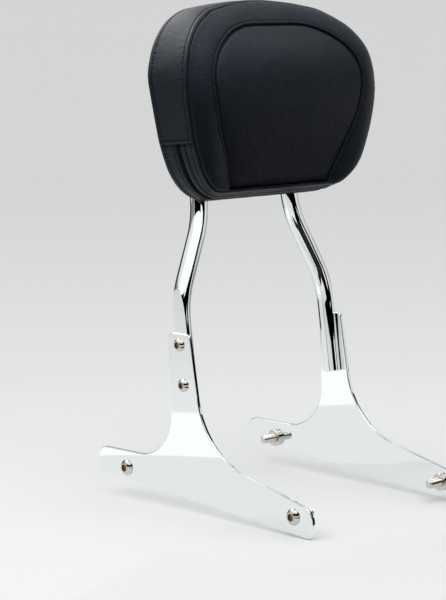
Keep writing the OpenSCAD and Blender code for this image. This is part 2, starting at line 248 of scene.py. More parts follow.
@dataclass(frozen=True)
class GrainedVinyl(Finish):
    """Expanded vinyl with a pressed leather grain: near black, cool, with a soft sheen on its folds."""

    name: str = "grained_vinyl"
    colour: str = "#07090d"
    roughness: float = 0.36
    light_colour: str = "#0c1016"
    # painted shade: the colour that seams, folds and stitch rows turn to, where shade falls in them
    painted_seam_shade_colour: str = "#020304"
    seam_roughness: float = 0.95
    sheen_tint: str = "#cfe2ff"
    specular: float = 0.24
    grain_mm: float = 1.1
    grain_warp_mm: float = 1.2
    grain_rim: float = 0.22
    pore_mm: float = 0.45
    crease_mm: float = 4.0

    def material(self) -> Material:
        """Build the material: cells of grain, pores and faint creases as bump, a slight change of tone, and painted
        shade along the seams, near black and rougher where the cover's seam attribute is high.
        """
        mat, tree, shader, here = self.start()
        warp = noise(tree, here, 3 * self.grain_mm, 2.0).outputs["Color"]
        bent = add_node(tree, "ShaderNodeVectorMath",
                        {"operation": "MULTIPLY_ADD", 1: (self.grain_warp_mm * MM,) * 3}, {0: warp, 2: here})
        cells = add_node(tree, "ShaderNodeTexVoronoi",
                         {"feature": "DISTANCE_TO_EDGE", "Scale": 1 / (self.grain_mm * MM)},
                         {"Vector": bent.outputs["Vector"]})
        grain = add_node(tree, "ShaderNodeMapRange",
                         {"From Max": self.grain_rim, "interpolation_type": "SMOOTHSTEP"},
                         {"Value": cells.outputs["Distance"]}).outputs["Result"]
        pores = noise(tree, here, self.pore_mm, 3.0).outputs["Fac"]
        creases = noise(tree, here, self.crease_mm, 5.0, Roughness=0.62, Distortion=0.7).outputs["Fac"]
        normal = bump(tree, creases, 0.7, 0.8)
        normal = bump(tree, pores, 0.25, 0.12, normal)
        normal = bump(tree, grain, 0.6, 0.14, normal)
        # painted shade along seams, folds and stitch rows: the base colour turns near black there
        seam = add_node(tree, "ShaderNodeAttribute", {"attribute_name": "painted_seam_shade"}).outputs["Fac"]
        shade = mixed(tree, "RGBA", creases, linear(self.colour), linear(self.light_colour))
        rough = spread(tree, grain, self.roughness * 0.85, self.roughness * 1.2)
        tree.links.new(mixed(tree, "RGBA", seam, shade, linear(self.painted_seam_shade_colour)), shader.inputs["Base Color"])
        tree.links.new(mixed(tree, "FLOAT", seam, rough, self.seam_roughness), shader.inputs["Roughness"])
        tree.links.new(normal, shader.inputs["Normal"])
        shader.inputs["Specular IOR Level"].default_value = self.specular
        shader.inputs["Specular Tint"].default_value = linear(self.sheen_tint)
        return mat


@dataclass(frozen=True)
class SewingThread(Finish):
    """Bonded polyester thread: black, twisted, with little gloss."""

    name: str = "sewing_thread"
    colour: str = "#050506"
    roughness: float = 0.85
    specular: float = 0.12
    twist_mm: float = 0.7

    def material(self) -> Material:
        """Build the material: a dark fibre with the twist as bump."""
        mat, tree, shader, place = self.start()
        twist = add_node(tree, "ShaderNodeTexWave",
                         {"Scale": 1 / (self.twist_mm * MM), "bands_direction": "DIAGONAL"}, {"Vector": place})
        tree.links.new(bump(tree, twist.outputs["Fac"], 0.5, 0.1), shader.inputs["Normal"])
        shader.inputs["Specular IOR Level"].default_value = self.specular
        return mat


@dataclass(frozen=True)
class MouldedPlastic(Finish):
    """Black polypropylene, moulded with a fine spark texture."""

    name: str = "moulded_plastic"
    colour: str = "#17181a"
    roughness: float = 0.52
    spark_mm: float = 0.5

    def material(self) -> Material:
        """Build the material: plastic with a fine random bump."""
        mat, tree, shader, place = self.start()
        sparks = noise(tree, place, self.spark_mm, 4.0).outputs["Fac"]
        tree.links.new(bump(tree, sparks, 0.35, 0.15), shader.inputs["Normal"])
        return mat


@dataclass(frozen=True)
class Plywood(Finish):
    """Birch plywood inside the pad: pale, with grain along x."""

    name: str = "plywood"
    colour: str = "#c9a876"
    roughness: float = 0.6
    dark_colour: str = "#a8855a"
    grain_mm: float = 4.0

    def material(self) -> Material:
        """Build the material: two browns mixed along stretched noise."""
        mat, tree, shader, place = self.start()
        stretch = add_node(tree, "ShaderNodeMapping", {"Scale": (0.12, 1.0, 1.0)}, {"Vector": place})
        grain = noise(tree, stretch.outputs["Vector"], self.grain_mm, 5.0).outputs["Fac"]
        shade = mixed(tree, "RGBA", grain, linear(self.colour), linear(self.dark_colour))
        tree.links.new(shade, shader.inputs["Base Color"])
        return mat


@dataclass(frozen=True)
class PartFrame:
    """Where the pieces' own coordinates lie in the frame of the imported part."""

    datum_y: float = 173.0
    datum_z: float = 205.0
    lean_deg: float = 8.2

    def leaning(self, x: np.ndarray, w: np.ndarray, s: np.ndarray) -> np.ndarray:
        """Place points given across, forward and up the legs, by one turn about x and one move.

        Args:
            x: distance to the left of the middle.
            w: distance in front of the middle of the bar.
            s: height above the lower bends, along the legs.

        Returns:
            Points in the part's frame, in metres, with the three coordinates last.
        """
        lean = math.radians(self.lean_deg)
        y = self.datum_y + s * math.sin(lean) - w * math.cos(lean)
        z = self.datum_z + s * math.cos(lean) + w * math.sin(lean)
        return np.stack(np.broadcast_arrays(x, y, z), axis=-1) * MM

    def upright(self, x: np.ndarray, y: np.ndarray, z: np.ndarray) -> np.ndarray:
        """Place points given from the lower bends without the lean, in metres."""
        return np.stack(np.broadcast_arrays(x, y + self.datum_y, z + self.datum_z), axis=-1) * MM


    def unleaned(self, move: np.ndarray) -> np.ndarray:
        """Turn moves in the part's frame into moves across, forward and up the legs."""
        lean = math.radians(self.lean_deg)
        return np.stack([move[:, 0], move[:, 2] * math.sin(lean) - move[:, 1] * math.cos(lean),
                         move[:, 1] * math.sin(lean) + move[:, 2] * math.cos(lean)], -1)


PLACE = PartFrame()


def grid_quads(rows: int, cols: int, wrap: bool = True) -> np.ndarray:
    """Join the points of a grid into four-sided faces.

    Args:
        rows: number of rows.
        cols: number of points in a row.
        wrap: whether each row closes on itself.

    Returns:
        One row of four point numbers for each face.
    """
    r, c = np.meshgrid(np.arange(rows - 1), np.arange(cols if wrap else cols - 1), indexing="ij")
    nxt = (c + 1) % cols
    return np.stack([r * cols + c, r * cols + nxt, (r + 1) * cols + nxt, (r + 1) * cols + c], axis=-1).reshape(-1, 4)


def closed_grid(rows: int, cols: int) -> list[list[int]]:
    """Faces of a grid of closed rows, with one more over its first row and one over its last."""
    first, last = list(range(cols)), list(range((rows - 1) * cols, rows * cols))
    return grid_quads(rows, cols).tolist() + [first[::-1], last]


def new_mesh(name: str, points: np.ndarray, faces: list) -> Mesh:
    """Make a mesh of points, with their three coordinates last, and faces."""
    mesh = bpy.data.meshes.new(name)
    mesh.from_pydata(points.reshape(-1, 3).tolist(), [], faces)
    return mesh


def in_scene(name: str, data: bpy.types.ID) -> Object:
    """Make an object of the data and put it in the scene."""
    thing = bpy.data.objects.new(name, data)
    bpy.context.scene.collection.objects.link(thing)
    return thing


def add_piece(name: str, points: np.ndarray, faces: list, material: Material, sharp_deg: float,
              replaces: tuple[str, ...] = (), creases: np.ndarray | None = None,
              second: tuple[Material, int] | None = None) -> Object:
    """Make a mesh object with its normals outwards, and let it ride on the part.

    Args:
        name: the piece's name.
        points: its points in metres, with the three coordinates last.
        faces: lists of point numbers.
        material: its finish.
        sharp_deg: edges that turn by more than this stay sharp.
        replaces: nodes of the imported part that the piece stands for.
        creases: pairs of point numbers whose edges stay sharp too.
        second: another finish, for the faces that use only points from this number on.

    Returns:
        The new object.
    """
    mesh = new_mesh(name, points, faces)
    mesh.validate()
    outwards(mesh)
    mesh.polygons.foreach_set("use_smooth", np.ones(len(mesh.polygons), bool))
    mesh.set_sharp_from_angle(angle=math.radians(sharp_deg))
    mesh.materials.append(material)
    if creases is not None:
        mark_creases(mesh, creases)
    if second is not None:
        mesh.materials.append(second[0])
        corners, starts = read(mesh.loops, "vertex_index", np.int32), read(mesh.polygons, "loop_start", np.int32)
        inner = np.minimum.reduceat(corners, starts) >= second[1]
        mesh.polygons.foreach_set("material_index", inner.astype(int))
    piece = in_scene(name, mesh)
    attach(piece, BODY)
    if replaces:
        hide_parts(*replaces)
    LOG.info("%s: %d faces", name, len(mesh.polygons))
    return piece


def read(items: bpy.types.bpy_prop_collection, field: str, kind: type, width: int = 1) -> np.ndarray:
    """Read one field of all items, with a row for each item where the field holds more than one value."""
    values = np.empty(len(items) * width, kind)
    items.foreach_get(field, values)
    return values.reshape(-1, width) if width > 1 else values


def mark_creases(mesh: Mesh, pairs: np.ndarray) -> None:
    """Keep the edges between the given pairs of points sharp, besides those that are."""
    ends = read(mesh.edges, "vertices", np.int64, 2)
    own, wanted = (np.sort(e, axis=1) @ [len(mesh.vertices), 1] for e in (ends, pairs.astype(np.int64)))
    layer = mesh.attributes["sharp_edge"].data
    layer.foreach_set("value", read(layer, "value", bool) | np.isin(own, wanted))


def outwards(mesh: Mesh) -> None:
    """Turn every face of a closed mesh outwards: a mesh with a volume below zero is inside out."""
    mesh.calc_loop_triangles()
    points = read(mesh.vertices, "co", float, 3)
    a, b, c = (points[k] for k in read(mesh.loop_triangles, "vertices", np.int64, 3).T)
    if np.einsum("ij,ij->i", a, np.cross(b, c)).sum() < 0:
        mesh.flip_normals()


def weigh_normals(piece: Object) -> None:
    """Let the flat faces of a piece keep their normals, so that only its rounded edges shade round."""
    change = piece.modifiers.new("flat faces", "WEIGHTED_NORMAL")
    change.keep_sharp = True
    change.weight = 100


def rounded_loop(corners: list[tuple[float, float]], radii: list[float],
                 steps_per_turn: int = 96) -> tuple[np.ndarray, np.ndarray]:
    """Walk round an outline with straight edges and an arc at each corner.

    The arc's centre lies on the corner's bisector, at the radius over the sine of half the corner's angle, and the
    arc runs between the feet of the perpendiculars from there to the two edges.

    Args:
        corners: the outline's corners in order.
        radii: radius at each corner.
        steps_per_turn: points on an arc of 360 degrees.

    Returns:
        The outline's points, and the unit vector that points out of it at each.
    """
    pts = np.array(corners, float)
    area = np.sum(pts[:, 0] * np.roll(pts[:, 1], -1) - np.roll(pts[:, 0], -1) * pts[:, 1])
    if area < 0:
        pts, radii = pts[::-1], radii[::-1]
    where, out = [], []
    for i, r in enumerate(radii):
        p, a, b = pts[i], pts[i - 1], pts[(i + 1) % len(pts)]
        ua, ub = (a - p) / np.linalg.norm(a - p), (b - p) / np.linalg.norm(b - p)
        half = math.acos(np.clip(ua @ ub, -1, 1)) / 2
        middle = (ua + ub) / np.linalg.norm(ua + ub)
        centre = p + middle * r / math.sin(half)
        convex = ua[0] * ub[1] - ua[1] * ub[0] < 0
        start = p + ua * r / math.tan(half) - centre
        sweep = (math.pi - 2 * half) * (1 if convex else -1)
        count = max(3, int(abs(sweep) / (TURN) * steps_per_turn * max(1.0, (r / 30) ** 0.5)) + 2)
        angle = np.linspace(0, sweep, count)
        spoke = np.stack([start[0] * np.cos(angle) - start[1] * np.sin(angle),
                          start[0] * np.sin(angle) + start[1] * np.cos(angle)], axis=-1)
        where.append(centre + spoke)
        out.append(spoke / r * (1 if convex else -1))
    return np.vstack(where), np.vstack(out)


def slab(points: np.ndarray, out: np.ndarray, back: float, front: float,
         edge: float) -> tuple[np.ndarray, np.ndarray, np.ndarray, list]:
    """Give an outline a thickness, with quarter-round edges.

    Each ring of points is the outline moved in by r - r sin(t) at a depth of r - r cos(t) from a face.

    Args:
        points: the outline.
        out: unit vectors out of it.
        back: where the back face lies on the third axis.
        front: where the front face lies.
        edge: radius of the edges.

    Returns:
        First and second coordinates of all points, their third coordinate, and the faces.
    """
    turn = np.linspace(0, math.pi / 2, 6)
    inset = np.concatenate([edge * (1 - np.sin(turn)), edge * (1 - np.sin(turn[::-1]))])
    depth = np.concatenate([back + edge * (1 - np.cos(turn)), front - edge * (1 - np.cos(turn[::-1]))])
    rings = points[None] - out[None] * inset[:, None, None]
    third = np.broadcast_to(depth[:, None], rings.shape[:2])
    return rings[..., 0], rings[..., 1], third, closed_grid(len(inset), len(points))


def spun(radii: np.ndarray, heights: np.ndarray, sides: int) -> np.ndarray:
    """Rings of points round the z axis: r cos(t), r sin(t) and the ring's height."""
    angle = np.arange(sides) / sides * TURN
    flat = radii if radii.ndim == 2 else radii[:, None]
    return np.stack(np.broadcast_arrays(flat * np.cos(angle), flat * np.sin(angle), heights[:, None]), -1)


def turned(profile: list[tuple[float, float]], sides: int, hexagon_from: int) -> np.ndarray:
    """Turn a profile round the z axis, its inner part with a hexagon's outline.

    A hexagon's radius at an angle is its half width across flats over the cosine of the angle to the nearest flat.

    Args:
        profile: radius and height of each ring, from the middle of the underside round to the middle of the top.
        sides: points round each ring.
        hexagon_from: number of the first ring that is a hexagon, whose radii are half widths across flats.

    Returns:
        Points, with the rings first and the three coordinates last.
    """
    radii, heights = np.array(profile, float).T
    flat = (np.arange(sides) / sides * TURN + math.pi / 6) % (math.pi / 3) - math.pi / 6
    shape = np.ones((len(radii), sides))
    shape[hexagon_from:] = 1 / np.cos(flat)
    return spun(radii[:, None] * shape, heights, sides)


def tube(ring: list[tuple[float, float]], sides: int = 64) -> tuple[np.ndarray, list]:
    """Turn a closed profile of radii and heights round the z axis, into points and the faces of a closed ring."""
    radii, heights = np.array(ring, float).T
    quads = grid_quads(len(radii) + 1, sides) % (len(radii) * sides)
    return spun(radii, heights, sides).reshape(-1, 3), quads.tolist()


def smooth_round(values: np.ndarray, spread: float) -> np.ndarray:
    """Smooth values that run round a closed line with a bell whose spread is counted in columns."""
    reach = int(4 * spread)
    bell = np.exp(-0.5 * (np.arange(-reach, reach + 1) / spread) ** 2)
    return np.convolve(np.concatenate([values[-reach:], values, values[:reach]]), bell / bell.sum(), "valid")


def clustered(count: int, places: tuple[float, ...], gain: float, spread: float) -> np.ndarray:
    """Spread rows from 0 to 1, closer together where seams lie.

    The density is 1 plus a bell at each place. Its running sum, turned round, gives the rows.

    Args:
        count: number of rows.
        places: where rows lie closer.
        gain: height of the bells.
        spread: width of the bells.

    Returns:
        The rows' places.
    """
    fine = np.linspace(0, 1, 4001)
    density = 1 + gain * sum(np.exp(-((fine - p) / spread) ** 2) for p in places)
    total = np.cumsum(density)
    return np.interp(np.linspace(0, 1, count), (total - total[0]) / (total[-1] - total[0]), fine)


def run_along(points: np.ndarray) -> np.ndarray:
    """Distance along a line of points from its first."""
    return np.concatenate([[0], np.cumsum(np.linalg.norm(np.diff(points, axis=0), axis=1))])


def unit(vectors: np.ndarray) -> np.ndarray:
    """Scale vectors, with their coordinates last, to a length of 1."""
    return vectors / np.linalg.norm(vectors, axis=-1, keepdims=True).clip(1e-9)


def bells(distance: np.ndarray, shape: Bells) -> np.ndarray:
    """Add up bells: each is its depth times exp(-((distance - place) / width)^2)."""
    return sum(depth * np.exp(-((distance - at) / width) ** 2) for depth, at, width in shape)


@dataclass
class UprightHoop:
    """The bent round bar, with the flats where the side plates lie."""

    bar_d: float = 19.0
    foot_span: float = 226.0
    top_span: float = 140.0
    bend_rise: float = 85.0
    bend_r: float = 105.0
    leg_drop: float = 102.0
    arch_s: float = 214.13
    flat_offset: float = 3.2
    end_chamfer: float = 0.8
    sides: int = 120
    step: float = 1.5

    def centre_line(self) -> tuple[np.ndarray, np.ndarray]:
        """Trace the middle of the bar, from the left foot over the arch to the right foot.

        Straight stretches and arcs follow each other, so that each starts in the direction in which the last ended:
        along an arc of radius r, the heading turns by one radian for each r of length.

        Returns:
            Points across and up the legs, and the heading at each, in radians.
        """
        shift = (self.foot_span - self.top_span) / 2
        bend = math.atan2(shift, self.bend_rise)
        tangent = self.bend_r * math.tan(bend / 2)
        slant = self.bend_rise / math.cos(bend) - 2 * tangent
        arch = self.top_span / 2
        half = [
            (self.leg_drop - tangent, 0.0), (self.bend_r * bend, bend), (slant, 0.0), (self.bend_r * bend, -bend),
            (self.arch_s - self.bend_rise - tangent, 0.0), (arch * math.pi / 2, math.pi / 2),
        ]
        at, heading = np.array([self.foot_span / 2, -self.leg_drop]), math.pi / 2
        where, headings = [at[None]], [np.array([heading])]
        for length, turn in half + half[::-1]:
            along = np.linspace(0, length, max(2, int(length / self.step) + 1))[1:]
            angle = heading + turn * along / length
            if turn:
                r = length / turn
                path = at + r * np.stack([np.sin(angle) - math.sin(heading), math.cos(heading) - np.cos(angle)], -1)
            else:
                path = at + along[:, None] * np.array([math.cos(heading), math.sin(heading)])
            where.append(path)
            headings.append(angle)
            at, heading = path[-1], angle[-1]
        return np.vstack(where), np.concatenate(headings)

    def surface(self) -> tuple[np.ndarray, list, np.ndarray]:
        """Carry a circle along the centre line, cut straight where it would pass the flats.

        A point of the ring lies at centre + r (cos t N + sin t W), with N out of the hoop and W forward. Where the
        flat cuts the ring at an angle c, a fifth of the ring's points lies evenly on the chord between -c and c.

        Returns:
            Points in metres, faces, and the pairs of points on the flats' edges.
        """
        line, heading = self.centre_line()
        r, rim = self.bar_d / 2, self.end_chamfer
        normal = np.stack([np.sin(heading), -np.cos(heading)], -1)
        up = np.array([0.0, rim])
        line = np.vstack([line[:1], line[:1] + up, line[1:-1], line[-1:] + up, line[-1:]])
        normal = np.vstack([normal[:1], normal[:1], normal[1:-1], normal[-1:], normal[-1:]])
        radius = np.full(len(line), r)
        radius[[0, -1]] = r - rim
        plane = self.foot_span / 2 + self.flat_offset
        room = (plane - np.abs(line[:, 0])) / (radius * np.abs(normal[:, 0]).clip(1e-6))
        cut = np.arccos(np.clip(np.where(line[:, 1] < self.bend_rise, room, 1.0), -1, 1))
        fifth = self.sides // 5
        on_flat = np.linspace(-1, 1, fifth + 1)
        spare = np.linspace(0, 1, self.sides - fifth + 1)[1:-1]
        wide = np.maximum(cut, 0.02)[:, None]
        angle = np.concatenate([on_flat * wide, wide + spare * (TURN - 2 * wide)], axis=1)
        flat = np.zeros(angle.shape, bool)
        flat[:, :fifth + 1] = (cut > 1e-6)[:, None]
        chord = np.concatenate([on_flat, np.zeros(len(spare))]) * np.sin(wide)
        outward = np.where(flat, np.cos(wide), np.cos(angle)) * radius[:, None]
        forward = np.where(flat, chord, np.sin(angle)) * radius[:, None]
        x = line[:, :1] + outward * normal[:, :1]
        s = line[:, 1:] + outward * normal[:, 1:]
        count = angle.shape[1]
        rings = np.flatnonzero((cut[:-1] > 1e-6) & (cut[1:] > 1e-6)) * count
        creases = np.concatenate([np.stack([rings + k, rings + k + count], -1) for k in (0, fifth)])
        return PLACE.leaning(x, forward, s), closed_grid(len(line), count), creases

    def build(self, finish: Material) -> None:
        """Make the hoop."""
        points, faces, creases = self.surface()
        add_piece("upright_hoop_bar", points, faces, finish, 40.0, ("upright_hoop",), creases)


@dataclass
class SidePlates:
    """The two flat plates between the hoop's feet and the fender struts."""

    plate_t: float = 4.4
    inner_x: float = 116.2
    edge_r: float = 1.0
    upper_drop: float = 47.0
    pitch: float = 43.0
    neck_top: float = 12.0
    neck_w: float = 31.0
    neck_lean: float = 6.0
    neck_flare: float = 3.9
    front_bolt: tuple[float, float] = (-173.0, -205.0)
    rear_bolt: tuple[float, float] = (76.0, -191.0)
    arm_above: float = 16.4
    arm_below: float = 18.5
    arm_slope: float = 13.0
    arm_nose: float = 27.3
    tail_above: float = 18.7
    tail_below: float = 11.5
    tail_end: float = 45.0
    radii: tuple[float, ...] = (5.0, 5.0, 90.0, 19.0, 8.0, 11.0, 11.0, 50.0)

    def screw_place(self, drop: float) -> tuple[float, float]:
        """Place of an upright screw on the plate, down the leaning leg."""
        lean = math.radians(PLACE.lean_deg)
        return -drop * math.sin(lean), -drop * math.cos(lean)

    def corners(self) -> list[tuple[float, float]]:
        """Work out the outline's corners from the screws, the bolts and the plate's slopes.

        Returns:
            Corners rearward and up from the lower bends, from the top of the neck round by the nose and the tail.
        """
        upper, lower = self.screw_place(self.upper_drop), self.screw_place(self.upper_drop + self.pitch)
        mid = ((upper[0] + lower[0]) / 2, (upper[1] + lower[1]) / 2)
        top = upper[1] + self.neck_top
        top_y = mid[0] + (top - mid[1]) * math.tan(math.radians(self.neck_lean))
        front_tan = math.tan(math.radians(self.neck_lean + self.neck_flare))
        rear_tan = math.tan(math.radians(self.neck_lean - self.neck_flare))
        slope = math.tan(math.radians(self.arm_slope))
        (fy, fz), (ry, rz) = self.front_bolt, self.rear_bolt
        front, rear = top_y - self.neck_w / 2, top_y + self.neck_w / 2
        arm_z = fz + self.arm_above
        root_y = (front + front_tan * (arm_z - top - slope * fy)) / (1 - front_tan * slope)
        nose_y, tail_y = fy - self.arm_nose, ry + self.tail_end
        under_front, under_rear = fz - self.arm_below, rz - self.tail_below
        under = (under_rear - under_front) / (ry - fy)
        tail_z = rz + self.tail_above
        return [
            (rear, top), (front, top), (root_y, arm_z + (root_y - fy) * slope),
            (nose_y, arm_z - self.arm_nose * slope), (nose_y, under_front - self.arm_nose * under),
            (tail_y, under_rear + self.tail_end * under), (tail_y, tail_z),
            (rear - (top - tail_z) * rear_tan, tail_z),
        ]

    def build(self, side: Side, finish: Material) -> None:
        """Make one plate as a slab across x."""
        points, out = rounded_loop(self.corners(), list(self.radii), 160)
        y, z, x, faces = slab(points, out, self.inner_x, self.inner_x + self.plate_t, self.edge_r)
        node = f"side_plate_{side.name.lower()}"
        weigh_normals(add_piece(f"{node}_face", PLACE.upright(x * side.value, y, z), faces, finish,
                                60.0, (node,)))


@dataclass
class ButtonScrew:
    """A round-headed screw with a hexagon socket, drawn with its head's underside at z = 0."""

    shank_r: float
    head_r: float
    head_h: float
    hex_w: float
    socket: float
    grip: float
    length: float
    pitch: float
    thread_cut: float = 0.3
    rim: float = 0.8
    lip: float = 1.1
    tip: float = 1.0
    broken: float = 0.25
    fade: float = 1.5
    steps: int = 8
    sides: int = 48

    def mesh(self) -> tuple[np.ndarray, list, int]:
        """Turn the profile of tip, thread, shank, head and socket.

        The dome is a circle through the head's edge and the flat ring's edge, with its centre on the axis. The thread
        is a wave on the radius: it goes round once for each pitch.

        Returns:
            Points, faces, and the number of the first point inside the socket.
        """
        hex_r, head_r, top = self.hex_w / 2, self.head_r, self.head_h
        top_r = hex_r / math.cos(math.pi / 6) + self.rim
        rise = top - self.lip
        mid = (top_r ** 2 + rise ** 2 - head_r ** 2) / (2 * rise)
        dome_r = math.hypot(head_r, mid)
        arc = np.linspace(math.atan2(-mid, head_r), math.atan2(rise - mid, top_r), 12)
        dome = [(dome_r * math.cos(t), self.lip + mid + dome_r * math.sin(t)) for t in arc]
        thread_r = self.shank_r - self.thread_cut
        rings = int((self.length - self.grip - self.tip) / self.pitch * self.steps)
        body = [(thread_r, z) for z in np.linspace(self.tip - self.length, -self.grip - 0.3, max(rings, 2))]
        profile = [(0.2, -self.length), (thread_r - self.tip, -self.length), *body,
                   (self.shank_r - 0.1, -self.grip), (self.shank_r, -self.grip + 0.2), (self.shank_r, 0.0),
                   (head_r - self.broken, 0.0), (head_r, self.broken), *dome,
                   (top_r - self.rim * 0.25, top), (top_r - self.rim * 0.6, top)]
        hexagon_from = len(profile)
        floor = top - self.socket
        profile += [(hex_r + 0.12, top), (hex_r, top - self.broken), (hex_r, floor),
                    (hex_r * 0.5, floor - 0.5), (0.1, floor - 0.8)]
        rows = turned(profile, self.sides, hexagon_from)
        thread = rows[2:2 + len(body)]
        turn = np.arange(self.sides) / self.sides
        wave = self.thread_cut * np.cos(TURN * (thread[..., 2] / self.pitch - turn))
        fade = np.clip((thread[..., 2] + self.length - self.tip) / self.fade, 0, 1)
        thread[..., :2] *= (1 + wave * fade / thread_r)[..., None]
        faces = closed_grid(len(profile), self.sides)
        return rows.reshape(-1, 3), faces, (hexagon_from + 1) * self.sides


def on_plate(points: np.ndarray, y: float, z: float, outer_x: float, side: Side) -> np.ndarray:
    """Turn points drawn along z so that z points out of a side plate, and move them to a place on its face.

    Args:
        points: points in their own coordinates.
        y: rearward place on the plate.
        z: upward place on the plate.
        outer_x: distance of the plate's face from the middle.
        side: side of the part.

    Returns:
        Points in metres.
    """
    return PLACE.upright((outer_x + points[:, 2]) * side.value, y + points[:, 0], z + points[:, 1])


def on_pad(points: np.ndarray, x: float, w: float, s: float) -> np.ndarray:
    """Turn points drawn along z so that z points back out of the pad, and move them to a place there."""
    return PLACE.leaning(x + points[:, 0], w - points[:, 2], s + points[:, 1])


@dataclass
class Fasteners:
    """Screws, bolts, spacers and washers, each on its own node's place."""

    plates: SidePlates
    steel: Material
    zinc: Material
    # finish of the sockets' faces: steel painted darker as shade in the recess, with grease
    inside: Material
    bolt_r: float = 4.75
    spacer_t: float = 4.8
    spacer_d: float = 19.0
    bolt_reach: float = 18.0
    hole_gap: float = 0.25
    strap_back: float = 6.0
    strap_t: float = 4.0
    panel_t: float = 2.5
    board_t: float = 8.0
    washer_t: float = 1.4
    washer_d: float = 14.0
    pad_screw_x: float = 45.0
    pad_screw_mid: float = 166.13
    pad_screw_up: float = 54.0

    def add_screw(self, node: str, points: np.ndarray, faces: list, start: int) -> None:
        """Make one screw, with its socket's faces in their own finish, painted darker as shade in the recess."""
        add_piece(f"{node}_head", points, faces, self.steel, 30.0, (node,),
                  second=(self.inside, start))

    def on_side(self, side: Side) -> None:
        """Make the two screws, the two strut bolts and the two spacers of one side plate."""
        plates, name = self.plates, side.name.lower()
        outer, stack = plates.inner_x + plates.plate_t, plates.plate_t + self.spacer_t
        screw = ButtonScrew(4.0, 7.1, 3.8, 6.4, 2.6, plates.plate_t, 16.4, 1.25)
        bolt = ButtonScrew(self.bolt_r, 8.6, 4.4, 7.4, 3.0, stack, stack + self.bolt_reach, 1.6)
        for node, kind, (y, z) in (("upper_screw", screw, plates.screw_place(plates.upper_drop)),
                                   ("lower_screw", screw, plates.screw_place(plates.upper_drop + plates.pitch)),
                                   ("front_bolt", bolt, plates.front_bolt), ("rear_bolt", bolt, plates.rear_bolt)):
            points, faces, start = kind.mesh()
            self.add_screw(f"{node}_{name}", on_plate(points, y, z, outer, side), faces, start)
        hole, rim, c = self.bolt_r + self.hole_gap, self.spacer_d / 2, 0.5
        low, high = -plates.plate_t - self.spacer_t, -plates.plate_t
        ring = [(hole, low), (rim - c, low), (rim, low + c), (rim, high - c), (rim - c, high), (hole, high)]
        for node, (y, z) in (("front_spacer", plates.front_bolt), ("rear_spacer", plates.rear_bolt)):
            points, faces = tube(ring)
            add_piece(f"{node}_{name}_tube", on_plate(points, y, z, outer, side), faces, self.steel,
                      30.0, (f"{node}_{name}",))

    def on_pad(self) -> None:
        """Make the four pad screws and their washers."""
        grip = self.washer_t + self.strap_t + self.panel_t
        screw = ButtonScrew(3.0, 5.25, 3.3, 4.0, 2.0, grip, grip + self.board_t - 1, 1.0)
        hole, rim, thick, c = 3.25, self.washer_d / 2, self.washer_t, 0.3
        ring = [(hole, 0.0), (rim - c, 0.0), (rim, c), (rim, thick - c), (rim - c, thick), (hole, thick)]
        for side in Side:
            for level, step in (("low", -1), ("top", 1)):
                name = f"{level}_{side.name.lower()}"
                x, s = side.value * self.pad_screw_x, self.pad_screw_mid + step * self.pad_screw_up / 2
                points, faces, start = screw.mesh()
                self.add_screw(f"pad_screw_{name}", on_pad(points, x, self.strap_back - thick, s), faces, start)
                points, faces = tube(ring)
                add_piece(f"pad_washer_{name}_ring", on_pad(points, x, self.strap_back, s), faces, self.zinc,
                          30.0, (f"pad_washer_{name}",))


